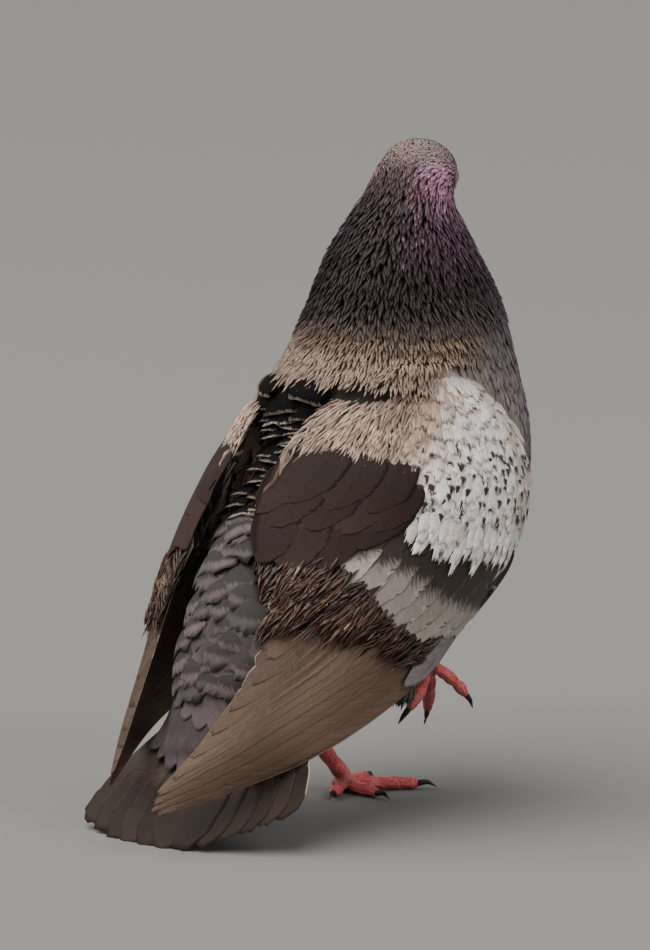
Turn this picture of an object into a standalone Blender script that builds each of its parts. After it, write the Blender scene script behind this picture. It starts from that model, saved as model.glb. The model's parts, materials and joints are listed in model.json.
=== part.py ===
"""A feral rock pigeon at life size, walking away with its right foot lifted and its tail on the ground.

Blender 4.5, metres, +Z up. The bird faces -Y, so its right side is at -X. Sizes are written in centimetres as
(right, forward, up) and turned into metres by at(). The flesh is one smooth form along a bent spine, parted
at the head, neck and rump. Wings lie on it as curved shells, the tail is a fan, and the feet are tubes.
"""

import math

import bmesh
import bpy
import numpy as np
from mathutils import Matrix, Vector
from mathutils.bvhtree import BVHTree

CM = 0.01
GAP = 0.0003  # air between two neighbouring solids
CLEAR = 0.04  # how much a cutter is larger than the solid it makes room for, in cm
SIDES = 28  # corners of each ring of the body

# The spine from crown to tail root: forward, up, pitch of the spine in degrees, half width,
# depth to the back, depth to the breast or belly, squareness (2 is an ellipse).
SPINE = (
    (1.20, 26.15, 90, 0.40, 0.35, 0.35, 2.0),  # top of the crown
    (1.15, 25.75, 90, 1.05, 0.98, 0.98, 2.0),
    (1.05, 24.90, 90, 1.55, 1.55, 1.45, 2.0),  # behind the eyes
    (0.65, 23.60, 90, 1.92, 1.95, 1.75, 2.0),  # nape and throat
    (0.30, 21.70, 89, 2.90, 2.95, 3.05, 2.0),
    (0.40, 19.80, 87, 3.55, 3.85, 4.25, 2.0),  # middle of the neck
    (0.35, 17.80, 82, 4.15, 4.75, 4.90, 2.05),  # neck root
    (0.00, 15.40, 74, 4.75, 5.75, 5.95, 2.2),  # crop and mantle
    (-0.80, 13.30, 66, 4.90, 5.00, 6.60, 2.15),  # breast
    (-2.00, 11.20, 58, 4.85, 4.90, 6.20, 2.2),
    (-3.50, 9.40, 52, 4.65, 4.90, 4.70, 2.25),  # belly
    (-5.20, 8.00, 48, 4.35, 4.50, 3.90, 2.3),
    (-7.00, 6.80, 46, 3.90, 3.75, 2.80, 2.3),  # rump and vent
    (-8.60, 5.60, 45, 3.40, 2.80, 1.80, 2.2),
    (-10.1, 4.20, 46, 2.95, 1.60, 1.10, 2.1),
    (-11.5, 2.80, 47, 2.50, 0.55, 0.50, 2.1),  # ends of the tail coverts
)
HEAD_CUT, NECK_CUT, RUMP_CUT = 3.15, 6.35, 11.3  # where the spine is parted, counted in its rows


def at(right, forward, up):
    """A place given in centimetres from the middle of the bird, in metres."""
    return Vector((-right, -forward, up)) * CM


def smooth(rows, t):
    """The value at t on a smooth curve through equally spaced rows (t counts rows from 0)."""
    rows = np.asarray(rows, float)
    t = min(max(t, 0.0), len(rows) - 1.0)
    i = min(int(t), len(rows) - 2)
    f = t - i
    before = rows[max(i - 1, 0)]
    after = rows[min(i + 2, len(rows) - 1)]
    here, there = rows[i], rows[i + 1]
    a = 2 * here
    b = there - before
    c = 2 * before - 5 * here + 4 * there - after
    d = 3 * (here - there) + after - before
    return (a + b * f + c * f * f + d * f * f * f) / 2


def lofted(name, rings, flat=False):
    """A closed solid through rings of equally many points; flat rings are closed across, others by a fan."""
    mesh = bpy.data.meshes.new(name)
    bm = bmesh.new()
    made = [[bm.verts.new(p) for p in ring] for ring in rings]
    count = len(rings[0])
    for one, two in zip(made, made[1:]):
        for k in range(count):
            n = (k + 1) % count
            bm.faces.new((one[k], one[n], two[n], two[k]))
    for ring in (made[0], made[-1]):
        if flat:
            for k in range(count // 2 - 1):
                bm.faces.new((ring[k], ring[k + 1], ring[count - 2 - k], ring[count - 1 - k]))
            continue
        middle = bm.verts.new(sum((v.co for v in ring), Vector()) / count)
        for k in range(count):
            bm.faces.new((ring[k], ring[(k + 1) % count], middle))
    bmesh.ops.recalc_face_normals(bm, faces=bm.faces)
    bm.to_mesh(mesh)
    bm.free()
    obj = bpy.data.objects.new(name, mesh)
    WORK.objects.link(obj)
    return obj


def spine_ring(t, grow=0.0, shift=0.0):
    """One ring of the body at t along the spine, grown outward and moved along the spine, both in cm."""
    forward, up, pitch, half, back, front, square = smooth(SPINE, t)
    lean = math.radians(pitch)
    along = np.array((math.cos(lean), math.sin(lean)))
    across = np.array((math.sin(lean), -math.cos(lean)))
    points = []
    for k in range(SIDES):
        turn = 2 * math.pi * k / SIDES
        s, c = math.sin(turn), math.cos(turn)
        wide = math.copysign(abs(s) ** (2 / square), s) * (half + grow)
        deep = math.copysign(abs(c) ** (2 / square), c) * ((front if c > 0 else back) + grow)
        f, z = np.array((forward, up)) + across * deep + along * shift
        points.append(at(wide, f, z))
    return points


def spine_form(name, start, end, grow=0.0, per_row=2.2):
    """The body between two places on its spine, half a gap short at each cut, or grown on all sides."""
    steps = max(2, round((end - start) * per_row))
    beyond = grow if grow else -GAP / 2 / CM
    rings = []
    for k in range(steps + 1):
        shift = beyond if k == 0 else -beyond if k == steps else 0.0
        rings.append(spine_ring(start + (end - start) * k / steps, grow, shift))
    return lofted(name, rings)


def combined(base, tool, operation):
    """base joined with tool or cut by it, as a plain mesh; tool is used up."""
    step = base.modifiers.new(operation.lower(), "BOOLEAN")
    step.operation = operation
    step.solver = "EXACT"
    step.object = tool
    bpy.context.view_layer.update()
    graph = bpy.context.evaluated_depsgraph_get()
    mesh = bpy.data.meshes.new_from_object(base.evaluated_get(graph))
    base.modifiers.clear()
    old = base.data
    base.data = mesh
    bpy.data.meshes.remove(old)
    bpy.data.objects.remove(tool)
    return base


def material(name, colour, roughness):
    """A plain Principled finish."""
    made = bpy.data.materials.new(name)
    made.use_nodes = True
    shader = made.node_tree.nodes["Principled BSDF"]
    shader.inputs["Base Color"].default_value = (*colour, 1)
    shader.inputs["Roughness"].default_value = roughness
    shader.inputs["Metallic"].default_value = 0.0
    return made


def keep(obj, name, colour, roughness=0.75):
    """Makes obj a finished part of the bird with its own name, finish and smooth shading."""
    obj.name = name
    obj.data.name = name
    WORK.objects.unlink(obj)
    BIRD.objects.link(obj)
    obj.data.materials.clear()
    obj.data.materials.append(material(name, colour, roughness))
    obj.data.shade_smooth()
    obj.data.set_sharp_from_angle(angle=math.radians(50))
    return obj


# ---------------------------------------------------------------- head

HEAD_AT = (0.05, 1.40, 24.75)  # middle of the head between the eyes
HEAD_TURN = 24  # degrees to the bird's left of the way it walks
HEAD_NOD = 10  # degrees the bill points down
# forward of the head's middle, up, half width, height above, depth below
FACE = (
    (-1.30, 0.02, 0.90, 0.85, 0.85),
    (-0.70, 0.04, 1.32, 1.24, 1.25),
    (0.00, 0.04, 1.50, 1.36, 1.40),
    (0.60, 0.02, 1.42, 1.24, 1.36),
    (1.15, -0.04, 1.08, 1.02, 1.16),
    (1.65, -0.14, 0.78, 0.76, 0.88),
    (2.05, -0.24, 0.54, 0.53, 0.62),
    (2.35, -0.30, 0.42, 0.38, 0.46),
)
EYE_PLACE = (0.60, -0.08)  # forward and up of the head's middle
EYE_RADIUS = 0.46
EYE_OUT = 0.96  # middle of the eyeball from the head's mid plane
BILL_FROM, BILL_LENGTH = 2.40, 1.75
BILL_WIDTH, BILL_DEPTH = 0.37, 0.33  # half width and depth of each half at the root


def head_frame():
    """Turns head coordinates (right, forward, up in metres) into the bird's."""
    turn = Matrix.Rotation(math.radians(HEAD_TURN), 4, "Z")
    nod = Matrix.Rotation(math.radians(HEAD_NOD), 4, "X")
    return Matrix.Translation(at(*HEAD_AT)) @ turn @ nod


def face_form(name):
    """The face from the back of the skull to the root of the bill."""
    rings = []
    steps, sides = 8, 20
    for k in range(steps + 1):
        forward, up, half, above, below = smooth(FACE, (len(FACE) - 1) * k / steps)
        ring = []
        for n in range(sides):
            turn = 2 * math.pi * n / sides
            s, c = math.sin(turn), math.cos(turn)
            ring.append(at(s * half, forward, up + c * (above if c > 0 else below)))
        rings.append(ring)
    face = lofted(name, rings)
    face.data.transform(head_frame())
    return face


def ball(name, place, radius):
    """A round solid about a place in metres."""
    mesh = bpy.data.meshes.new(name)
    bm = bmesh.new()
    bmesh.ops.create_uvsphere(bm, u_segments=12, v_segments=8, radius=radius)
    bmesh.ops.translate(bm, verts=bm.verts, vec=place)
    bm.to_mesh(mesh)
    bm.free()
    obj = bpy.data.objects.new(name, mesh)
    WORK.objects.link(obj)
    return obj


def bill_half(name, upper, grow=0.0):
    """The upper or lower half of the bill, tapering, the upper one drooping at its tip."""
    rings = []
    steps, around = 7, 9
    sign = 1 if upper else -1
    length = BILL_LENGTH if upper else BILL_LENGTH - 0.14
    for k in range(steps + 1):
        f = k / steps
        taper = 1 - 0.72 * f**1.3 if upper else 1 - 0.78 * f
        taper *= math.sqrt(max(1 - max(f - 0.86, 0) ** 2 / 0.0210, 0.12))
        droop = 0.24 * f**3 + (0.05 if upper else 0.10) * f
        swell = 1 + (0.10 * math.exp(-(((f - 0.78) / 0.14) ** 2)) if upper else 0)
        ring = []
        for n in range(around):
            turn = math.pi * n / (around - 1)
            wide = math.cos(turn) * (BILL_WIDTH * taper + grow)
            high = math.sin(turn) * (BILL_DEPTH * taper * swell + grow)
            high -= grow if n in (0, around - 1) else 0.0
            forward = BILL_FROM + length * f + (grow if k == steps else -grow if k == 0 else 0.0)
            ring.append(at(wide, forward, -0.34 - droop + sign * (GAP / 2 / CM + high)))
        rings.append(ring)
    obj = lofted(name, rings)
    obj.data.transform(head_frame())
    return obj


def cere_form(name):
    """The swollen white cere over the nostrils, two-lobed with a groove along the ridge of the bill."""
    rings = []
    steps, around = 6, 14
    for k in range(steps + 1):
        f = k / steps
        size = (0.35 + 0.65 * math.sin(math.pi * min(f * 0.62 + 0.2, 1.0))) * (1 - 0.45 * f**3)
        ring = []
        for n in range(around):
            turn = 2 * math.pi * n / around
            groove = 1 - 0.25 * math.exp(-((math.cos(turn) / 0.35) ** 2)) if math.sin(turn) > 0 else 1
            wide = 0.34 * size * math.cos(turn)
            high = 0.24 * size * groove * math.sin(turn)
            ring.append(at(wide, BILL_FROM + 0.88 * f, -0.02 - 0.10 * f + high))
        rings.append(ring)
    cere = lofted(name, rings)
    cere.data.transform(head_frame())
    return cere


def make_head():
    """Head, eyes, cere and bill."""
    head = combined(spine_form("crown", 0, HEAD_CUT), face_form("face"), "UNION")
    frame = head_frame()
    for side, word in ((1, "right"), (-1, "left")):
        place = frame @ at(EYE_OUT * side, *EYE_PLACE)
        head = combined(head, ball("socket", place, EYE_RADIUS * CM + GAP), "DIFFERENCE")
        keep(ball("eye", place, EYE_RADIUS * CM), "eye_" + word, (0.72, 0.12, 0.01), 0.15)
    keep(head, "head", (0.19, 0.17, 0.17))
    horn = (0.03, 0.03, 0.035)
    cere = combined(cere_form("cere"), bill_half("upper", True, CLEAR), "DIFFERENCE")
    pieces = (
        (bill_half("upper", True), "bill_upper", horn),
        (bill_half("lower", False), "bill_lower", horn),
        (cere, "cere", (0.62, 0.58, 0.55)),
    )
    for piece, name, colour in pieces:
        keep(piece, name, colour, 0.45)


# ---------------------------------------------------------------- wings

# Each wing: its inner (upper) and outer (lower) edge from shoulder to tip, as (out from the middle, forward,
# up), its bulge, and how square its section is. The right wing lies over the spine, the left one beside it.
WINGS = {
    "right": {
        "inner": (
            (2.4, -2.9, 17.8),
            (0.7, -5.6, 16.2),
            (-0.1, -7.4, 14.0),
            (-0.1, -8.6, 11.6),
            (0.9, -9.5, 9.2),
            (1.6, -11.0, 6.9),
            (1.2, -13.3, 4.4),
            (0.3, -15.6, 2.2),
        ),
        "outer": (
            (3.7, -1.3, 17.7),
            (5.1, 0.5, 15.6),
            (5.7, 1.2, 12.9),
            (5.6, 0.2, 10.3),
            (5.2, -2.4, 7.8),
            (4.8, -5.7, 5.4),
            (3.8, -10.7, 3.35),
            (0.9, -15.4, 1.7),
        ),
        "bulge": (0.4, 1.9, 3.1, 3.2, 2.6, 1.6, 0.7, 0.05),
        "round": 0.85,
    },
    "left": {
        "inner": (
            (2.9, -3.6, 16.6),
            (2.6, -5.6, 15.7),
            (2.8, -6.8, 13.9),
            (3.3, -8.0, 11.6),
            (3.7, -9.2, 9.2),
            (3.7, -10.6, 6.6),
            (3.2, -12.7, 3.9),
            (2.4, -14.6, 2.6),
        ),
        "outer": (
            (4.0, -1.8, 16.6),
            (5.0, 0.3, 15.3),
            (5.6, 1.2, 12.9),
            (5.6, 0.4, 10.2),
            (5.4, -1.9, 7.6),
            (5.0, -5.5, 5.3),
            (4.4, -10.0, 3.5),
            (2.7, -14.3, 2.15),
        ),
        "bulge": (0.2, 0.9, 1.5, 1.8, 1.6, 1.1, 0.55, 0.05),
        "round": 0.5,
    },
}
WING_THICK = (0.5, 0.9, 1.1, 1.1, 0.9, 0.6, 0.4, 0.22)
WING_ROWS = len(WING_THICK)
WING_SIDE = 11  # points across the wing on each face
WING_EDGE = 0.09  # least thickness, in cm
WING_CLEAR = 0.13  # air between the wing and the body, in cm
SHIELD_CUT, PRIMARY_CUT = 3.6, 4.6  # where the wing is parted, counted in its rows


def body_tree():
    """The body's surface for measuring how deep a wing can be where it lies on it."""
    hull = spine_form("hull", 0, len(SPINE) - 1, per_row=4)
    corners = [v.co.copy() for v in hull.data.vertices]
    faces = [tuple(p.vertices) for p in hull.data.polygons]
    bpy.data.objects.remove(hull)
    return BVHTree.FromPolygons(corners, faces)


def room_below(tree, place, out):
    """How far below a place on the wing the body lies, in cm; large where there is no body."""
    far = 4.0
    hit = tree.ray_cast(place + out * far * CM, -out, 2 * far * CM)
    return hit[3] / CM - far if hit[0] else 2 * far


def wing_ring(t, word, shift, tree):
    """One section across a wing, its outer face first, moved along the wing by shift."""
    wing, side = WINGS[word], 1 if word == "right" else -1
    inner, outer = smooth(wing["inner"], t), smooth(wing["outer"], t)
    bulge, thick = smooth(wing["bulge"], t), smooth(WING_THICK, t)
    ahead = smooth(wing["inner"], t + 0.05) + smooth(wing["outer"], t + 0.05)
    behind = smooth(wing["inner"], t - 0.05) + smooth(wing["outer"], t - 0.05)
    along = (ahead - behind) / np.linalg.norm(ahead - behind)
    out = -np.cross(outer - inner, along)
    out /= np.linalg.norm(out)
    way = at(side * out[0], out[1], out[2]) / CM
    face, back = [], []
    for k in range(WING_SIDE):
        q = k / (WING_SIDE - 1)
        hump = 4 * q * (1 - q)
        p = inner + (outer - inner) * q + out * bulge * hump ** wing["round"] + along * shift
        place = at(side * p[0], p[1], p[2])
        clear = WING_CLEAR + 0.15 * max(1 - t / 1.2, 0)
        depth = min(WING_EDGE + (thick - WING_EDGE) * hump**0.6, room_below(tree, place, way) - clear)
        lift = max(WING_EDGE - depth, 0)
        face.append(place + way * lift * CM)
        back.append(place - way * (depth if lift == 0 else WING_EDGE - lift) * CM)
    return face + back[::-1]


def wing_form(name, start, end, word, tree):
    """A stretch of a wing, half a gap short at each cut."""
    steps = max(3, round((end - start) * 2.4))
    short = GAP / 2 / CM
    rings = []
    for k in range(steps + 1):
        shift = short if k == 0 else -short if k == steps else 0.0
        rings.append(wing_ring(start + (end - start) * k / steps, word, shift, tree))
    return lofted(name, rings, flat=True)


def make_wings():
    """Shield, secondaries and primaries of each wing, hollow where they lie on the body."""
    spans = (
        ("shield", 0, SHIELD_CUT, (0.45, 0.40, 0.37)),
        ("secondaries", SHIELD_CUT, PRIMARY_CUT, (0.07, 0.055, 0.05)),
        ("primaries", PRIMARY_CUT, WING_ROWS - 1, (0.11, 0.085, 0.065)),
    )
    tree = body_tree()
    for word in WINGS:
        for part, start, end, colour in spans:
            keep(wing_form(part, start, end, word, tree), f"wing_{word}_{part}", colour)


# ---------------------------------------------------------------- body and tail

TAIL_ROOT = (0.0, -6.3, 8.35)  # where the tail feathers meet
TAIL_PITCH = 47
TAIL_SPREAD = 27  # degrees to each side
TAIL_ARCH = 0.3  # how far the outermost feathers hang below the middle ones
TAIL_REACH = (11.9, 11.6, 10.1)  # from the root to the ends of the leftmost, middle and rightmost feathers
TAIL_FEATHERS = 12
TAIL_NOTCH = 0.25  # depth of the notches between feather ends
TAIL_THICK = 0.22


def tail_point(reach, turn, under):
    """A place on the tail fan: reach from its root in cm, turn in degrees, under it by a depth."""
    lean = math.radians(TAIL_PITCH)
    angle = math.radians(turn)
    side = turn / TAIL_SPREAD
    arch = TAIL_ARCH * side * side * min(reach / TAIL_REACH[1], 1)
    axial, wide = reach * math.cos(angle), reach * math.sin(angle)
    down = arch + under
    forward = TAIL_ROOT[1] - axial * math.cos(lean) + down * math.sin(lean)
    up = TAIL_ROOT[2] - axial * math.sin(lean) - down * math.cos(lean)
    return at(TAIL_ROOT[0] + wide, forward, max(up, 0.0 if under else TAIL_THICK))


def make_tail():
    """The tail as one arched fan with twelve rounded feather ends, its middle lying on the ground."""
    per_feather, along = 3, 6
    count = TAIL_FEATHERS * per_feather
    rings = []
    for k in range(count + 1):
        turn = TAIL_SPREAD * (2 * k / count - 1)
        edge = smooth([(r,) for r in TAIL_REACH], 2 * k / count)[0]
        reach = edge - TAIL_NOTCH * abs(math.cos(math.pi * k / per_feather))
        near = 2.2
        steps = [near + (reach - near) * n / along for n in range(along + 1)]
        top = [tail_point(r, turn, 0.0) for r in steps]
        low = [tail_point(r, turn, TAIL_THICK) for r in steps]
        rings.append(top + low[::-1])
    tail = lofted("tail", rings, flat=True)
    hull = spine_form("hull", 9, len(SPINE) - 1, grow=CLEAR)
    keep(combined(tail, hull, "DIFFERENCE"), "tail", (0.12, 0.11, 0.105))


def make_body():
    """Neck, trunk and rump, parted along the spine, with room for the lifted shank."""
    keep(spine_form("neck", HEAD_CUT, NECK_CUT), "neck", (0.045, 0.035, 0.045), 0.6)
    trunk = spine_form("trunk", NECK_CUT, RUMP_CUT)
    rump = spine_form("rump", RUMP_CUT, len(SPINE) - 1)
    for thing in (trunk, rump):
        for word in ANKLE:
            combined(thing, shank_form("room", word, CLEAR), "DIFFERENCE")
            combined(thing, pad_form("room", word, CLEAR), "DIFFERENCE")
    keep(trunk, "trunk", (0.17, 0.15, 0.14))
    keep(rump, "rump", (0.24, 0.22, 0.235))


# ---------------------------------------------------------------- legs

KNEE = {"left": (-2.3, 0.2, 8.4), "right": (2.2, -0.5, 8.2)}
HEEL = {"left": (-1.95, -3.35, 2.9), "right": (2.3, -2.9, 5.2)}
ANKLE = {"left": (-1.60, -1.35, 0.62), "right": (1.70, -0.20, 5.45)}
# radius of each thigh from knee to heel
THIGH_THICK = {"left": (1.5, 1.9, 1.75, 1.15, 0.46), "right": (1.1, 1.3, 1.15, 0.85, 0.46)}
SHANK_THICK = (0.38, 0.33, 0.31, 0.34)  # radius from heel to ankle
PAD_WIDE, PAD_HIGH = 0.50, 0.37
CLAW_THICK = ((0.14,), (0.10,), (0.022,))  # radius along a claw
# For each toe: length, radius at the root, radius at the end, claw length
TOES = {
    "hallux": (1.20, 0.26, 0.21, 0.62),
    "inner": (1.65, 0.28, 0.23, 0.75),
    "middle": (2.70, 0.30, 0.24, 0.80),
    "outer": (2.05, 0.27, 0.21, 0.68),
}
# Standing foot: compass turn of each toe from straight ahead, towards the bird's right
STANDING_TURN = {"hallux": 158, "inner": 98, "middle": 42, "outer": -16}
# Lifted foot: the way each toe leaves the ankle and the way its end points (right, forward, up)
HANGING = {
    "hallux": ((-0.69, -0.18, -0.70), (-0.60, -0.25, -0.75)),
    "inner": ((-0.12, -0.12, -0.98), (-0.42, -0.45, -0.78)),
    "middle": ((-0.39, 0.65, -0.65), (-0.42, 0.36, -0.83)),
    "outer": ((0.30, 0.80, -0.50), (0.14, 0.63, -0.75)),
}


def tube(name, path, radii, sides=8, floor=None, grow=0.0):
    """A solid tube along a path in cm with a radius at each point, flattened where it meets the floor."""
    path = [np.array(p, float) for p in path]
    for end, inner in ((0, 1), (-1, -2)):
        way = path[end] - path[inner]
        path[end] = path[end] + way / np.linalg.norm(way) * grow
    rings = []
    last = len(path) - 1
    guide = np.array((0.31, 0.17, 0.93))
    for k, p in enumerate(path):
        along = path[min(k + 1, last)] - path[max(k - 1, 0)]
        along /= np.linalg.norm(along)
        one = np.cross(along, guide)
        if np.linalg.norm(one) < 0.3:
            one = np.cross(along, np.array((0.9, 0.4, 0.1)))
        one /= np.linalg.norm(one)
        two = np.cross(along, one)
        ring = []
        for n in range(sides):
            turn = 2 * math.pi * n / sides
            q = p + (one * math.cos(turn) + two * math.sin(turn)) * (radii[k] + grow)
            if floor is not None:
                q[2] = max(q[2], floor)
            ring.append(at(*q))
        rings.append(ring)
    return lofted(name, rings)


def curve_between(rows, count):
    """Points along a smooth curve through rows."""
    return [smooth(rows, (len(rows) - 1) * k / (count - 1)) for k in range(count)]


def toe_path(word, toe):
    """Centre line of a toe from the ankle pad to the root of its claw, then of its claw, in cm."""
    length, root, end, claw = TOES[toe]
    start = np.array(ANKLE[word])
    if word == "left":
        turn = math.radians(STANDING_TURN[toe])
        way = np.array((math.sin(turn), math.cos(turn), 0.0))
        base = np.array((start[0], start[1], 0.30)) + way * 0.36
        rest = [base + way * (length - 0.1) * f for f in (0, 0.35, 0.7, 1)]
        heights = (0.34, root * 0.95, end + 0.03, end - 0.02)
        for p, z in zip(rest, heights):
            p[2] = z
        tip = rest[-1] + way * claw
        claw_rows = [rest[-1] + way * 0.02 + (0, 0, 0.01), rest[-1] + way * claw * 0.55 + (0, 0, 0.05), tip]
        claw_rows[2][2] = 0.055
        return rest, claw_rows
    first, later = (np.array(w) / np.linalg.norm(w) for w in HANGING[toe])
    base = start + first * 0.36
    rest = [base]
    for k in range(3):
        way = first + (later - first) * (k + 0.5) / 3
        rest.append(rest[-1] + way / np.linalg.norm(way) * length / 3)
    curl = later + np.array((0, -0.25, -0.35))
    curl /= np.linalg.norm(curl)
    claw_rows = [rest[-1], rest[-1] + later * claw * 0.5, rest[-1] + later * claw * 0.45 + curl * claw * 0.55]
    return rest, claw_rows


def toe_radii(toe, count):
    """Radius along a toe: full at each of its pads, waisted between them, round at the end."""
    length, root, end, claw = TOES[toe]
    pads = {"hallux": 2, "inner": 2, "middle": 3, "outer": 4}[toe]
    found = []
    for k in range(count):
        f = k / (count - 1)
        r = root + (end - root) * f
        r *= 1 + 0.07 * math.cos(2 * math.pi * pads * f)
        neck = min(1.0, 0.66 + 2.4 * f)  # the toes are narrow where they leave the pad
        found.append(r * neck * (0.72 if k == count - 1 else 1.0))
    return found


def pad_form(name, word, grow=0.0):
    """The pad where the toes meet, lying on the ground under the standing leg."""
    pad = ball(name, Vector(), 1.0)
    wide, high = (PAD_WIDE + grow) * CM, (PAD_HIGH + grow) * CM
    place = at(ANKLE[word][0], ANKLE[word][1], ANKLE[word][2] if word == "right" else PAD_HIGH)
    pad.data.transform(Matrix.Translation(place) @ Matrix.Diagonal((wide, wide, high, 1)))
    return pad


def shank_form(name, word, grow=0.0):
    """The scaled shank from heel to ankle."""
    middle = np.array(HEEL[word]) * 0.5 + np.array(ANKLE[word]) * 0.5
    radii = [smooth([(r,) for r in SHANK_THICK], 3 * k / 5)[0] for k in range(6)]
    return tube(name, curve_between([HEEL[word], middle, ANKLE[word]], 6), radii, 12, grow=grow)


def toe_form(name, word, toe, grow=0.0):
    """One toe without its claw; a grown one, used for cutting, is not flattened by the floor."""
    count = 9 if toe in ("middle", "outer") else 7
    floor = 0.0 if word == "left" and grow == 0.0 else None
    path = curve_between(toe_path(word, toe)[0], count)
    return tube(name, path, toe_radii(toe, count), floor=floor, grow=grow)


def make_foot(word):
    """Shank, pad, four toes and four claws of one leg."""
    floor = 0.0 if word == "left" else None
    red = (0.56, 0.075, 0.065)
    shank = combined(shank_form("shank", word), pad_form("room", word, CLEAR), "DIFFERENCE")
    keep(shank, f"shank_{word}", red, 0.55)
    keep(pad_form("pad", word), f"foot_pad_{word}", red, 0.55)
    for toe in TOES:
        path = curve_between(toe_path(word, toe)[1], 5)
        claw = tube("claw", path, [smooth(CLAW_THICK, k / 2)[0] for k in range(5)], 7, floor)
        claw = combined(claw, toe_form("room", word, toe, CLEAR), "DIFFERENCE")
        keep(claw, f"claw_{word}_{toe}", (0.02, 0.018, 0.018), 0.4)
        flesh = toe_form(toe, word, toe)
        flesh = combined(flesh, pad_form("room", word, CLEAR), "DIFFERENCE")
        for other in list(TOES)[: list(TOES).index(toe)]:
            flesh = combined(flesh, toe_form("room", word, other, CLEAR), "DIFFERENCE")
        keep(flesh, f"toe_{word}_{toe}", red, 0.55)


def make_thigh(word):
    """The feathered thigh outside the body, open where the shank enters it."""
    knee, heel = np.array(KNEE[word]), np.array(HEEL[word])
    rows = [knee + (heel - knee) * f for f in (0, 0.3, 0.6, 0.85, 1.02)]
    radii = [smooth([(r,) for r in THIGH_THICK[word]], 4 * k / 8)[0] for k in range(9)]
    thigh = tube("thigh", curve_between(rows, 9), radii, 12)
    hull = spine_form("hull", HEAD_CUT, len(SPINE) - 1, grow=CLEAR)
    thigh = combined(thigh, hull, "DIFFERENCE")
    keep(combined(thigh, shank_form("room", word, CLEAR), "DIFFERENCE"), f"thigh_{word}", (0.2, 0.18, 0.17))


for old in list(bpy.data.objects):
    bpy.data.objects.remove(old)
BIRD = bpy.data.collections.new("pigeon")
WORK = bpy.data.collections.new("cutters")
for group in (BIRD, WORK):
    bpy.context.scene.collection.children.link(group)

make_head()
make_body()
make_wings()
make_tail()
for leg in ("left", "right"):
    make_foot(leg)
    make_thigh(leg)
for spare in list(WORK.objects):
    bpy.data.objects.remove(spare)

# The origin is on the ground under the middle of the bird's box.
corners = [v.co for piece in BIRD.objects for v in piece.data.vertices]
low, high = (Vector(pick(c[i] for c in corners) for i in range(3)) for pick in (min, max))
MIDDLE = Vector(((low.x + high.x) / 2, (low.y + high.y) / 2, low.z))
for piece in BIRD.objects:
    piece.data.transform(Matrix.Translation(-MIDDLE))
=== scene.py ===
"""The looks of a life-size feral rock pigeon that walks away from the viewer with one foot lifted."""

import json
import math

import bmesh
import bpy
import numpy as np
from mathutils import Matrix, Vector, noise
from mathutils.bvhtree import BVHTree
from mathutils.kdtree import KDTree

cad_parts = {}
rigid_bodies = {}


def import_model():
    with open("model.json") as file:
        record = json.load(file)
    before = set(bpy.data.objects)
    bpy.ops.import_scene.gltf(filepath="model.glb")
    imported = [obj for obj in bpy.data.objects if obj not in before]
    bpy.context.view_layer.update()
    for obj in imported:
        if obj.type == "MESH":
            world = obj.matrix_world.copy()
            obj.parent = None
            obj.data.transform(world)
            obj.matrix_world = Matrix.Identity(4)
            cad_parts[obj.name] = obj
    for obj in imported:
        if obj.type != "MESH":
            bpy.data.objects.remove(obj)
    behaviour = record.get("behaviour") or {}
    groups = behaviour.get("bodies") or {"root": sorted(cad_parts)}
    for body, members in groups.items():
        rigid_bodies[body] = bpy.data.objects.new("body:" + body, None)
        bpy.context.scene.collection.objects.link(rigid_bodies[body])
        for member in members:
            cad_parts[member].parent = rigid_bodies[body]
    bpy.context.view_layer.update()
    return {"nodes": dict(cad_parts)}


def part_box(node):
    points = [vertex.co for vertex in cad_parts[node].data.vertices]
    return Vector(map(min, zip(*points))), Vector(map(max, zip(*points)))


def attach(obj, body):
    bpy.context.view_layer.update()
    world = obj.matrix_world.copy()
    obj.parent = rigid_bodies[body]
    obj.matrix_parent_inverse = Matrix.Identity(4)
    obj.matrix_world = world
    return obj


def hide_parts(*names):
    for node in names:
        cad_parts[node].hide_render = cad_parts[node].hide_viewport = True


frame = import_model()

for name in ("Cube", "Light", "Camera"):
    if name in bpy.data.objects:
        bpy.data.objects.remove(bpy.data.objects[name])

# ---------------------------------------------------------------- studio
# The model stands on a wide pale floor under a large soft light, like an overcast sky, with a weaker light
# from each side. The camera looks down a little at the bird's back from behind its right wing.

CM = 0.01
SPINE_TO_FOOT = (-1.60, -1.35)  # the standing foot's place, in cm to the right and forward of the spine
pad_low, pad_high = (Vector(v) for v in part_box("foot_pad_left"))
foot_middle = (pad_low + pad_high) / 2


def at(right, forward, up):
    """A place given in centimetres from the point on the floor under the middle of the neck, in metres."""
    x = foot_middle.x - (right - SPINE_TO_FOOT[0]) * CM
    y = foot_middle.y - (forward - SPINE_TO_FOOT[1]) * CM
    return Vector((x, y, up * CM))


def srgb(code):
    """Linear red, green and blue of a colour code such as 'c8494a'."""
    parts = [int(code[i : i + 2], 16) / 255 for i in (0, 2, 4)]
    return np.array([c / 12.92 if c < 0.04045 else ((c + 0.055) / 1.055) ** 2.4 for c in parts])


def paint(code):
    """The colour of a code as red, green, blue and full alpha."""
    return (*srgb(code), 1)


def placed(name, data):
    """A new object in the scene that holds some data."""
    obj = bpy.data.objects.new(name, data)
    bpy.context.scene.collection.objects.link(obj)
    return obj


def new_mesh_object(name, vertices, faces):
    """A smooth-shaded mesh object in the scene."""
    mesh = bpy.data.meshes.new(name)
    mesh.from_pydata([tuple(v) for v in vertices], [], faces)
    mesh.update()
    mesh.shade_smooth()
    return placed(name, mesh)


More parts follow.
